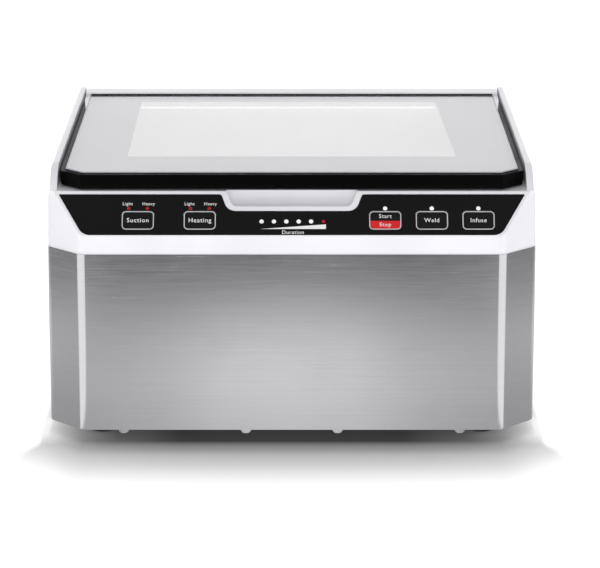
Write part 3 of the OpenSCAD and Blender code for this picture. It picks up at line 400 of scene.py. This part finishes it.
def settled_dust():
    """A thin veil of dust on what faces up, in drifts."""
    tree, given, out = effect("settled_dust", {"Place": (0.0, 0.0, 0.0), "Amount": 0.1}, ["Dust"])
    nodes, links = tree.nodes, tree.links
    split = nodes.new("ShaderNodeSeparateXYZ")
    links.new(nodes.new("ShaderNodeNewGeometry").outputs["Normal"], split.inputs[0])
    facing = maths(nodes, links, "POWER", maths(nodes, links, "MAXIMUM", split.outputs[2], 0.0), 3.0)
    drift = spread(nodes, links, noise(nodes, links, given["Place"], 60.0, 5.0, 0.7), 0.3, 0.8)
    dust = maths(nodes, links, "MULTIPLY", facing, drift)
    links.new(maths(nodes, links, "MULTIPLY", dust, given["Amount"], clamp=True), out["Dust"])
    return tree


def edge_wear_and_highlight():
    """Where an edge is made lighter, as rubbed paint and as a painted highlight: 1 on the edge, 0 on a flat.
    """
    tree, given, out = effect("edge_wear_and_highlight", {"Place": (0.0, 0.0, 0.0)}, ["Edge"])
    nodes, links = tree.nodes, tree.links
    soft = nodes.new("ShaderNodeBevel")
    soft.samples = 4
    soft.inputs["Radius"].default_value = 0.7 * MM
    turn = nodes.new("ShaderNodeVectorMath")
    turn.operation = "DOT_PRODUCT"
    links.new(soft.outputs[0], turn.inputs[0])
    links.new(nodes.new("ShaderNodeNewGeometry").outputs["True Normal"], turn.inputs[1])
    edge = spread(nodes, links, turn.outputs["Value"], 0.98, 0.8)
    patchy = spread(nodes, links, noise(nodes, links, given["Place"], 130.0, 4.0, 0.7), 0.35, 0.7)
    links.new(maths(nodes, links, "MULTIPLY", edge, patchy, clamp=True), out["Edge"])
    return tree


EFFECTS = {make.__name__: make() for make in
           (brushed_lines, moulded_grain, hand_smudges, settled_dust, edge_wear_and_highlight)}


class Finish:
    """A material in the making: its Principled shader and the place on the object, in metres."""

    def __init__(self, name, colour, roughness, metallic=0.0, **sockets):
        self.material = bpy.data.materials.new(name)
        self.material.use_nodes = True
        self.nodes, self.links = self.material.node_tree.nodes, self.material.node_tree.links
        self.shader = self.nodes["Principled BSDF"]
        self.place = self.nodes.new("ShaderNodeTexCoord").outputs["Object"]
        self.colour = colour
        self.shader.inputs["Base Color"].default_value = (*colour, 1)
        self.shader.inputs["Roughness"].default_value = roughness
        self.shader.inputs["Metallic"].default_value = metallic
        for label, value in sockets.items():
            self.shader.inputs[label.replace("_", " ")].default_value = value
        self.material.diffuse_color = (*colour, 1)

    def use(self, name, **values):
        """Places a shared effect and gives its outputs."""
        node = self.nodes.new("ShaderNodeGroup")
        node.node_tree = EFFECTS[name]
        self.links.new(self.place, node.inputs["Place"])
        for label, value in values.items():
            node.inputs[label].default_value = value
        return node.outputs

    def faded(self, mask, by):
        """A mask made weaker."""
        return maths(self.nodes, self.links, "MULTIPLY", mask, by)

    def tint(self, mask, low, high):
        """Base colour from low to high by a mask."""
        self.blend(mix(self.nodes, self.links, mask, low, high))

    def blend(self, socket):
        self.links.new(socket, self.shader.inputs["Base Color"])
        self.last = socket

    def over(self, mask, colour):
        """Lays a colour over the base colour by a mask."""
        self.blend(mix(self.nodes, self.links, mask, self.last, colour))

    def gloss(self, mask, low, high):
        """Roughness from low to high by a mask."""
        node = self.nodes.new("ShaderNodeMapRange")
        self.links.new(mask, node.inputs["Value"])
        node.inputs["To Min"].default_value = low
        node.inputs["To Max"].default_value = high
        self.links.new(node.outputs[0], self.shader.inputs["Roughness"])

    def bump(self, height, strength, distance):
        node = self.nodes.new("ShaderNodeBump")
        node.inputs["Strength"].default_value = strength
        node.inputs["Distance"].default_value = distance
        self.links.new(height, node.inputs["Height"])
        self.links.new(node.outputs[0], self.shader.inputs["Normal"])


# ---------------------------------------------------------------- finishes
def shade(colour, by):
    return tuple(min(1.0, c * by) for c in colour)


def brushed_metal(name, colour, roughness, lines, depth=0.012 * MM, anisotropic=0.0, contrast=0.12):
    """Metal with lines brushed into it, darker in the lines and where it is smudged."""
    finish = Finish(name, colour, roughness, 1.0, Anisotropic=anisotropic)
    brush = finish.use("brushed_lines", Stretch=lines)
    smudge = finish.use("hand_smudges")["Smudge"]
    finish.tint(brush["Lines"], shade(colour, 1 - contrast), shade(colour, 1 + contrast * 0.6))
    finish.over(finish.faded(brush["Bands"], 0.12), shade(colour, 0.8))
    finish.over(finish.faded(smudge, 0.12), shade(colour, 0.85))
    gloss = maths(finish.nodes, finish.links, "ADD", finish.faded(brush["Lines"], 0.7),
                  finish.faded(smudge, 0.5), clamp=True)
    finish.gloss(gloss, roughness * 0.8, roughness * 1.35)
    finish.bump(brush["Height"], 0.5, depth)
    if anisotropic:
        finish.shader.inputs["Anisotropic Rotation"].default_value = 0.25
        tangent = finish.nodes.new("ShaderNodeTangent")
        tangent.direction_type, tangent.axis = "RADIAL", "Z"
        finish.links.new(tangent.outputs[0], finish.shader.inputs["Tangent"])
    return finish


def moulded(name, colour, roughness, fineness=1500.0, depth=0.01 * MM, dust=0.05, dusty=(0.5, 0.49, 0.47),
            **sockets):
    """Plastic, rubber or paint with a fine grain, uneven gloss and a little dust."""
    finish = Finish(name, colour, roughness, **sockets)
    grain = finish.use("moulded_grain", Fineness=fineness)
    finish.tint(grain["Tone"], shade(colour, 0.965), shade(colour, 1.03))
    finish.over(finish.use("settled_dust", Amount=dust)["Dust"], dusty)
    finish.gloss(finish.use("hand_smudges")["Smudge"], roughness, roughness * 1.4)
    finish.bump(grain["Height"], 0.35, depth)
    return finish


def steel_of_the_wrap():
    return brushed_metal("brushed_steel", (0.66, 0.655, 0.68), 0.22, (26.0, 26.0, 3000.0), 0.0025 * MM,
                         0.55, 0.04)


def galvanised_sheet():
    """Zinc-coated sheet with its cloudy crystals."""
    finish = brushed_metal("galvanised_sheet", (0.56, 0.57, 0.59), 0.34, (60.0, 60.0, 60.0), 0.01 * MM)
    spangle = finish.nodes.new("ShaderNodeTexVoronoi")
    spangle.inputs["Scale"].default_value = 140
    finish.links.new(finish.place, spangle.inputs["Vector"])
    grey = finish.nodes.new("ShaderNodeRGBToBW")
    finish.links.new(spangle.outputs["Color"], grey.inputs[0])
    finish.over(finish.faded(grey.outputs[0], 0.35), (0.42, 0.43, 0.45))
    return finish


def chamber_steel():
    return brushed_metal("chamber_steel", (0.76, 0.76, 0.78), 0.42, (10.0, 1800.0, 1800.0), 0.002 * MM,
                         contrast=0.03)


def white_plastic():
    return moulded("white_plastic", (0.865, 0.86, 0.9), 0.32, 900.0, 0.006 * MM, 0.02, (0.8, 0.8, 0.79),
                   Specular_IOR_Level=0.35)


def black_film():
    return moulded("black_film", (0.0035, 0.003, 0.0035), 0.16, 2600.0, 0.002 * MM, 0.004, (0.25, 0.25, 0.25))


def key_film():
    return moulded("key_film", (0.005, 0.0048, 0.005), 0.24, 2600.0, 0.004 * MM, 0.004, (0.25, 0.25, 0.25))


def lid_black():
    finish = moulded("lid_black", (0.0012, 0.0012, 0.0014), 0.4, 1400.0, 0.004 * MM, 0.003,
                     Specular_IOR_Level=0.05)
    # the frame's edges are painted lighter: a painted highlight along them
    edge = finish.use("edge_wear_and_highlight")["Edge"]
    finish.over(finish.faded(edge, 0.12), (0.2, 0.2, 0.21))
    return finish


def lid_acrylic():
    """Clear acrylic, wiped but not spotless."""
    finish = Finish("lid_acrylic", (0.98, 0.978, 0.988), 0.0, IOR=1.49, Transmission_Weight=1.0)
    smudge = finish.use("hand_smudges")["Smudge"]
    finish.tint(smudge, (0.99, 0.988, 0.994), (0.962, 0.96, 0.97))
    finish.gloss(smudge, 0.0, 0.015)
    return finish


def lamp_lens(name, colour, glow):
    """A small glossy lens with fine ribs and a faint light of its own."""
    finish = Finish(name, colour, 0.12, Coat_Weight=1.0)
    rings = finish.use("moulded_grain", Fineness=2200.0)
    finish.tint(rings["Tone"], shade(colour, 0.85), shade(colour, 1.1))
    finish.bump(rings["Height"], 0.5, 0.02 * MM)
    finish.shader.inputs["Emission Color"].default_value = (*colour, 1)
    finish.shader.inputs["Emission Strength"].default_value = glow
    return finish


def printed_ink(name, colour, roughness=0.35):
    finish = Finish(name, colour, roughness)
    grain = finish.use("moulded_grain", Fineness=5200.0)
    finish.tint(grain["Tone"], shade(colour, 0.965), shade(colour, 1.02))
    finish.bump(grain["Height"], 0.1, 0.001 * MM)
    return finish


def silver_line():
    finish = Finish("silver_line", (0.72, 0.72, 0.74), 0.35, 0.1)
    grain = finish.use("moulded_grain", Fineness=6000.0)
    finish.tint(grain["Tone"], (0.67, 0.67, 0.69), (0.77, 0.77, 0.79))
    finish.bump(grain["Height"], 0.3, 0.004 * MM)
    return finish


def foot_rubber():
    return moulded("foot_rubber", (0.018, 0.018, 0.018), 0.65, 800.0, 0.05 * MM, 0.1)


def silicone(name, colour):
    return moulded(name, colour, 0.48, 1100.0, 0.015 * MM, 0.05, Specular_IOR_Level=0.4)


def heater_tape():
    """Woven glass cloth with a fluoropolymer coat."""
    finish = Finish("heater_tape", (0.36, 0.22, 0.12), 0.45)
    weave = []
    for axis in ("X", "Y"):
        wave = finish.nodes.new("ShaderNodeTexWave")
        wave.bands_direction = axis
        wave.inputs["Scale"].default_value = 420
        finish.links.new(finish.place, wave.inputs["Vector"])
        weave.append(wave.outputs["Fac"])
    over = maths(finish.nodes, finish.links, "MULTIPLY", weave[0], weave[1])
    finish.tint(over, (0.27, 0.16, 0.085), (0.45, 0.29, 0.16))
    finish.bump(over, 0.6, 0.06 * MM)
    return finish


def circuit_board():
    finish = Finish("circuit_board", (0.02, 0.16, 0.06), 0.3, Coat_Weight=0.4)
    tracks = finish.nodes.new("ShaderNodeTexBrick")
    tracks.inputs["Scale"].default_value = 220
    tracks.inputs["Mortar Size"].default_value = 0.035
    finish.links.new(finish.place, tracks.inputs["Vector"])
    finish.tint(tracks.outputs["Fac"], (0.016, 0.13, 0.05), (0.04, 0.26, 0.1))
    finish.over(finish.use("settled_dust", Amount=0.2)["Dust"], (0.4, 0.4, 0.36))
    finish.bump(tracks.outputs["Fac"], 0.4, 0.03 * MM)
    return finish


def wound_copper():
    return brushed_metal("wound_copper", (0.72, 0.3, 0.13), 0.35, (1400.0, 40.0, 40.0), 0.1 * MM)


def stacked_iron():
    return brushed_metal("stacked_iron", (0.36, 0.37, 0.4), 0.42, (1800.0, 30.0, 30.0), 0.08 * MM,
                         contrast=0.4)


def cast_metal():
    return moulded("cast_metal", (0.5, 0.51, 0.53), 0.5, 700.0, 0.08 * MM, 0.2, Metallic=1.0)


def painted_shell():
    finish = moulded("painted_shell", (0.035, 0.038, 0.042), 0.4, 500.0, 0.04 * MM, 0.25)
    edge = finish.use("edge_wear_and_highlight")["Edge"]
    finish.over(finish.faded(edge, 0.5), (0.4, 0.4, 0.42))
    return finish


def polished(name, colour, roughness):
    return brushed_metal(name, colour, roughness, (700.0, 700.0, 700.0), 0.004 * MM)


STEEL = steel_of_the_wrap()
PLATE = galvanised_sheet()
TUB = chamber_steel()
WHITE = white_plastic()
FILM = black_film()
KEY_FILM = key_film()
LID_BLACK = lid_black()
ACRYLIC = lid_acrylic()
CLEAR_LAMP = lamp_lens("clear_lamp", (0.85, 0.86, 0.87), 0.3)
RED_LAMP = lamp_lens("red_lamp", (0.42, 0.012, 0.02), 0.02)
RUBBER = foot_rubber()
GREY_SILICONE = silicone("grey_silicone", (0.3, 0.3, 0.31))
RED_SILICONE = silicone("red_silicone", (0.42, 0.05, 0.035))
BLACK_PLASTIC = moulded("black_plastic", (0.018, 0.018, 0.019), 0.4, 900.0, 0.02 * MM, 0.08)
TAPE = heater_tape()
ALUMINIUM = brushed_metal("aluminium", (0.74, 0.75, 0.76), 0.3, (14.0, 1500.0, 1500.0))
CAST = cast_metal()
POLISHED = polished("polished_steel", (0.7, 0.7, 0.71), 0.14)
SCREW = polished("screw_steel", (0.66, 0.66, 0.68), 0.24)
BRASS = polished("brass", (0.72, 0.52, 0.22), 0.25)
BOARD = circuit_board()
PARTS = moulded("board_parts", (0.05, 0.05, 0.055), 0.45, 600.0, 0.05 * MM, 0.15)
IRON = stacked_iron()
COPPER = wound_copper()
SHELL = painted_shell()
SWITCH_RED = moulded("switch_red", (0.5, 0.02, 0.015), 0.25, 900.0, 0.006 * MM, 0.03)
LID_INK = printed_ink("lid_ink", (0.385, 0.375, 0.41), 0.4)
WHITE_INK = printed_ink("white_ink", (0.92, 0.92, 0.92))
RED_INK = printed_ink("red_ink", (0.7, 0.003, 0.008), 0.55)
SILVER_LINE = silver_line()

NODE_FINISH = {
    STEEL: ["steel_wrap"], PLATE: ["base_plate", "rear_cover"], WHITE: ["top_housing", "lid_hinge_bar"],
    RUBBER: ["rubber_feet", "vacuum_hose", "seal_air_hose", "pump_mounts"],
    SCREW: ["foot_screws", "flange_screws", "rear_screws", "hinge_springs", "board_standoffs"],
    FILM: ["control_overlay"], KEY_FILM: list(KEY_X), CLEAR_LAMP: ["clear_lamps"], RED_LAMP: ["red_lamps"],
    BOARD: ["control_board", "power_board"],
    BLACK_PLASTIC: ["tact_switches", "seal_bar", "lift_cylinders", "suction_port", "pump_fan",
                    "lid_sensor", "solenoid_coils", "pressure_sensor", "cooling_fan_frame",
                    "cooling_fan_rotor", "power_inlet", "switch_bezel"],
    TUB: ["chamber_tub"], GREY_SILICONE: ["chamber_gasket"], TAPE: ["heating_element"],
    POLISHED: ["lift_pins", "hinge_pins", "pump_crankshaft", "pump_bearings", "lid_magnet"],
    RED_SILICONE: ["counter_bar"], LID_BLACK: ["lid_frame"], ACRYLIC: ["lid_glass"], SHELL: ["motor_shell"],
    IRON: ["motor_stator", "transformer_core"], CAST: ["pump_crankcases", "pump_heads"],
    ALUMINIUM: ["pump_cylinders", "pump_pistons", "valve_manifold"], COPPER: ["transformer_winding"],
    PARTS: ["board_components"], BRASS: ["inlet_pins"], SWITCH_RED: ["power_rocker"],
}


# ---------------------------------------------------------------- softened edges on the CAD pieces
def smooth_shading():
    """Geometry nodes that shade every face smooth, for the normals that follow."""
    tree = bpy.data.node_groups.new("shade_smooth", "GeometryNodeTree")
    tree.interface.new_socket("Geometry", in_out="INPUT", socket_type="NodeSocketGeometry")
    tree.interface.new_socket("Geometry", in_out="OUTPUT", socket_type="NodeSocketGeometry")
    shade_node = tree.nodes.new("GeometryNodeSetShadeSmooth")
    tree.links.new(tree.nodes.new("NodeGroupInput").outputs[0], shade_node.inputs[0])
    tree.links.new(shade_node.outputs[0], tree.nodes.new("NodeGroupOutput").inputs[0])
    return tree


SMOOTH = smooth_shading()
# the width of each bevel, in millimetres
SOFT_EDGES = {"steel_wrap": 0.3, "base_plate": 0.3, "rear_cover": 0.25, "top_housing": 0.6, "lid_frame": 0.5,
              "lid_glass": 0.7, "lid_hinge_bar": 0.6, "rubber_feet": 0.6, "flange_screws": 0.25,
              "control_overlay": 0.1, "key_left_outer": 0.15, "key_left_inner": 0.15,
              "key_right_inner": 0.15, "key_right_middle": 0.15, "key_right_outer": 0.15,
              "seal_bar": 0.4, "counter_bar": 0.6, "chamber_gasket": 0.8, "chamber_tub": 0.3,
              "power_inlet": 0.3, "switch_bezel": 0.3, "power_rocker": 0.4, "cooling_fan_frame": 0.4,
              "suction_port": 0.3, "rear_screws": 0.2, "foot_screws": 0.2}
WELD_WITHIN = 0.002 * MM
FLAT_WITHIN = math.radians(0.4)
SHARP_FROM = math.radians(32)


def soften(obj, width):
    """Bevels the sharp edges of a CAD piece and keeps its flats flat."""
    weld = obj.modifiers.new("weld", "WELD")
    weld.merge_threshold = WELD_WITHIN
    flat = obj.modifiers.new("flat", "DECIMATE")
    flat.decimate_type, flat.angle_limit = "DISSOLVE", FLAT_WITHIN
    bevel = obj.modifiers.new("edges", "BEVEL")
    bevel.width, bevel.segments = width * MM, 2
    bevel.limit_method, bevel.angle_limit = "ANGLE", SHARP_FROM
    bevel.miter_outer = "MITER_ARC"
    smooth = obj.modifiers.new("smooth", "NODES")
    smooth.node_group = SMOOTH
    normals = obj.modifiers.new("normals", "WEIGHTED_NORMAL")
    normals.weight = 80


def dress_cad():
    for finish, names in NODE_FINISH.items():
        for name in names:
            obj = NODES[name]
            for material_slot in obj.material_slots:
                material_slot.material = finish.material
            if name in SOFT_EDGES:
                soften(obj, SOFT_EDGES[name])


# ---------------------------------------------------------------- pieces
def on_slope(u, v, w=0.0):
    """A place on the control slope: u across, v up the slope and w out of it, in millimetres."""
    up = Vector((0, math.cos(SLOPE_ANGLE), math.sin(SLOPE_ANGLE)))
    return SLOPE_FOOT + Vector((u, 0, 0)) * MM + up * v * MM + SLOPE_OUT * w * MM


def face_height(name):
    """How far a CAD node stands out of the slope, in millimetres."""
    return max((vertex.co - SLOPE_FOOT).dot(SLOPE_OUT) for vertex in NODES[name].data.vertices) / MM


def piece(name, mesh, finish, body):
    mesh.materials.append(finish.material)
    obj = bpy.data.objects.new(name, mesh)
    bpy.context.collection.objects.link(obj)
    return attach(obj, body)


def rounded_outline(half_x, half_y, r, steps=8):
    """The outline of a rectangle with rounded corners, round from its right side."""
    points = []
    for turn, (sx, sy) in enumerate(((1, 1), (-1, 1), (-1, -1), (1, -1))):
        for step in range(steps + 1):
            angle = math.radians(90 * (turn + step / steps))
            points.append((sx * (half_x - r) + r * math.cos(angle),
                           sy * (half_y - r) + r * math.sin(angle)))
    return points


def closed_mesh(name, mesh):
    """The finished data of a mesh in the making, with its faces turned outward."""
    bmesh.ops.recalc_face_normals(mesh, faces=mesh.faces)
    data = bpy.data.meshes.new(name)
    mesh.to_mesh(data)
    mesh.free()
    return data


def ring_mesh(name, outer, inner, place, thick):
    """A flat ring between two outlines with the same number of points, as thick as given."""
    mesh = bmesh.new()
    low_out, top_out, low_in, top_in = ([mesh.verts.new(place(x, y, w)) for x, y in outline]
                                        for outline in (outer, inner) for w in (0.0, thick))
    count = len(outer)
    for i in range(count):
        j = (i + 1) % count
        for a, b in ((low_out, top_out), (top_out, top_in), (top_in, low_in), (low_in, low_out)):
            mesh.faces.new((a[i], a[j], b[j], b[i]))
    return closed_mesh(name, mesh)


def plate_mesh(name, outline, place, thick):
    """A flat plate inside one outline."""
    mesh = bmesh.new()
    low, top = ([mesh.verts.new(place(x, y, w)) for x, y in outline] for w in (0.0, thick))
    mesh.faces.new(low)
    mesh.faces.new(top)
    for i in range(len(outline)):
        j = (i + 1) % len(outline)
        mesh.faces.new((low[i], low[j], top[j], top[i]))
    return closed_mesh(name, mesh)


def word(name, text, u, v, w, cap, finish, body, width=None):
    """A printed word on the slope, centred on u and v, with capitals as high as cap. A word that is
    wider than width is made smaller until it fits."""
    curve = bpy.data.curves.new(name, "FONT")
    curve.body, curve.align_x, curve.align_y = text, "CENTER", "CENTER"
    curve.size, curve.extrude = cap / CAPITAL * MM, INK / 2
    curve.offset = BOLD * curve.size
    curve.space_character = LETTER_SPACING
    curve.resolution_u = CURVE_STEPS
    obj = bpy.data.objects.new(name, curve)
    obj.matrix_world = Matrix.Translation(on_slope(u, v, w)) @ Matrix.Rotation(SLOPE_ANGLE, 4, "X")
    bpy.context.collection.objects.link(obj)
    bpy.context.view_layer.update()
    if width and obj.dimensions.x > width * MM:
        curve.size *= width * MM / obj.dimensions.x
        bpy.context.view_layer.update()
    mesh = bpy.data.meshes.new_from_object(obj)
    mesh.transform(obj.matrix_world)
    bpy.data.objects.remove(obj)
    mesh.name = name
    return piece(name, mesh, finish, body)


def glass_front():
    """Half the width of the glass's front edge, and how much its corners are cut."""
    low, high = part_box("lid_glass")
    glass = NODES["lid_glass"].data.vertices
    front_half = max(abs(vertex.co.x) for vertex in glass if vertex.co.y < low.y + MM)
    return front_half, high.x - front_half


def lid_print():
    """The grey border printed inside the underside of the lid, round its clear window."""
    low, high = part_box("lid_glass")
    front_half, cut = glass_front()
    half = high.x - LID_RIM
    back, corner, front = high.y - LID_RIM, low.y + cut + LID_RIM, low.y + LID_RIM
    outer = [(-half, back), (-half, corner), (-front_half, front), (front_half, front), (half, corner),
             (half, back)]
    x, y0, y1 = WINDOW_HALF, low.y + WINDOW_FRONT, high.y - WINDOW_BACK
    inner = [(WINDOW_REAR_LEFT, y1), (-x, y0 + WINDOW_CORNER), (-x + WINDOW_CORNER, y0),
             (x - WINDOW_CORNER, y0), (x, y0 + WINDOW_CORNER), (WINDOW_REAR_RIGHT, y1)]
    z = low.z + 0.1 * MM
    border = ring_mesh("lid_border_print", outer, inner, lambda a, b, w: (a, b, z + w), INK)
    piece("lid_border_print", border, LID_INK, "lid")


def glass_outline(grow):
    """The glass's outline from above, grown by grow: rear left, round the front, rear right."""
    low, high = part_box("lid_glass")
    front_half, cut = glass_front()
    back, side, front = high.y + grow, high.x + grow, low.y - grow
    turn = grow * math.tan(math.radians(22.5))
    return [(-side, back), (-side, low.y + cut - turn), (-front_half - turn, front),
            (front_half + turn, front), (side, low.y + cut - turn), (side, back)]


def lid_edge_band():
    """The black band round the glass's edge, above the frame."""
    low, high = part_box("lid_glass")
    bottom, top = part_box("lid_frame")[1].z + 0.05 * MM, high.z - 0.75 * MM
    outer, inner = glass_outline(0.16 * MM), glass_outline(0.04 * MM)
    mesh = bmesh.new()
    section = ((outer, bottom), (outer, top), (inner, top), (inner, bottom))
    rows = [[mesh.verts.new((x, y, z)) for x, y in outline] for outline, z in section]
    for i in range(len(outer) - 1):
        for k in range(4):
            a, b = rows[k], rows[(k + 1) % 4]
            mesh.faces.new((a[i], a[i + 1], b[i + 1], b[i]))
    for end in (0, -1):
        mesh.faces.new([row[end] for row in rows])
    piece("lid_edge_band", closed_mesh("lid_edge_band", mesh), LID_BLACK, "lid")


# the section of the black strip behind the glass, painted shade for the dark joint, in millimetres back and
# up from the glass's rear top edge
SHADOW_STRIP_SECTION = [(-1.6, -0.4), (-1.6, 0.5), (-1.2, 0.95), (-0.4, 1.1), (0.1, 1.05), (0.1, -0.4)]


def lid_rear_shadow_strip():
    """A black strip on the glass's rear edge that paints the shadow in the joint between the glass and the
    hinge bar.
    """
    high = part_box("lid_glass")[1]
    half = high.x - 0.5 * MM
    profile = [(high.y + back * MM, high.z + up * MM) for back, up in SHADOW_STRIP_SECTION]
    mesh = bmesh.new()
    ends = [[mesh.verts.new((x, y, z)) for y, z in profile] for x in (-half, half)]
    for i in range(len(profile)):
        j = (i + 1) % len(profile)
        mesh.faces.new((ends[0][i], ends[0][j], ends[1][j], ends[1][i]))
    for loop in ends:
        mesh.faces.new(loop)
    piece("lid_rear_shadow_strip", closed_mesh("lid_rear_shadow_strip", mesh), LID_BLACK, "lid")


# each key's words, with how far up from its middle and how high their capitals are, in millimetres
KEY_WORDS = {"key_left_outer": [("Suction", 0, 3.3)], "key_left_inner": [("Heating", 0, 3.3)],
             "key_right_inner": [("Start", 3.1, 2.9), ("Stop", -3.2, 2.9)],
             "key_right_middle": [("Weld", 0, 3.1)], "key_right_outer": [("Infuse", 0, 3.1)]}
KEY_WORD_WIDTH = 16.5


def printed_on(node, u=0.0, v=0.0):
    """Gives the place on top of a slope node for a point of a print centred on u and v."""
    top = face_height(node) + PRINT_GAP
    return lambda a, b, w: on_slope(u + a, v + b, top + w / MM)


def key_prints():
    """Outline and words on each key, and the red half of the start and stop key."""
    half_x, half_y = (side / 2 - KEY_MARGIN for side in KEY_SIZE)
    outer = rounded_outline(half_x, half_y, KEY_ROUND)
    inner = rounded_outline(half_x - KEY_RIM, half_y - KEY_RIM, KEY_ROUND - KEY_RIM)
    for key, x in KEY_X.items():
        outline = ring_mesh(key + "_outline", outer, inner, printed_on(key, x, KEY_V), INK)
        piece(key + "_outline", outline, SILVER_LINE, key)
        for text, rise, cap in KEY_WORDS[key]:
            word(key + "_" + text.lower(), text, x, KEY_V + rise, face_height(key) + WORD_GAP, cap, WHITE_INK,
                 key, KEY_WORD_WIDTH)
    key = "key_right_inner"
    red_x, red_y = half_x - KEY_RIM - RED_MARGIN, half_y - KEY_RIM - RED_MARGIN
    lower = [(a, b) for a, b in rounded_outline(red_x, red_y, KEY_ROUND - KEY_RIM) if b <= 0]
    lower = [(-red_x, RED_TOP)] + lower + [(red_x, RED_TOP)]
    red = plate_mesh(key + "_red", lower, printed_on(key, KEY_X[key], KEY_V), INK / 2)
    piece(key + "_red", red, RED_INK, key)


def panel_prints():
    """Words over the left lamps, and the wedge and word under the row of lamps."""
    top = face_height("control_overlay") + PRINT_GAP
    for place in ("outer", "inner"):
        for side, text in ((-1, "Light"), (1, "Heavy")):
            u = KEY_X["key_left_" + place] + side * LEGEND_OUT
            word(f"panel_{text.lower()}_{place}", text, u, LEGEND_V, top, 2.3, WHITE_INK, "base", 10.5)
    wedge = plate_mesh("panel_wedge", WEDGE, printed_on("control_overlay"), INK)
    piece("panel_wedge", wedge, WHITE_INK, "base")
    word("panel_duration", "Duration", *DURATION_AT, top, 2.7, WHITE_INK, "base", 17)


camera()
studio_light()
floor()
dress_cad()
lid_print()
lid_edge_band()
lid_rear_shadow_strip()
key_prints()
panel_prints()

bpy.context.view_layer.update()
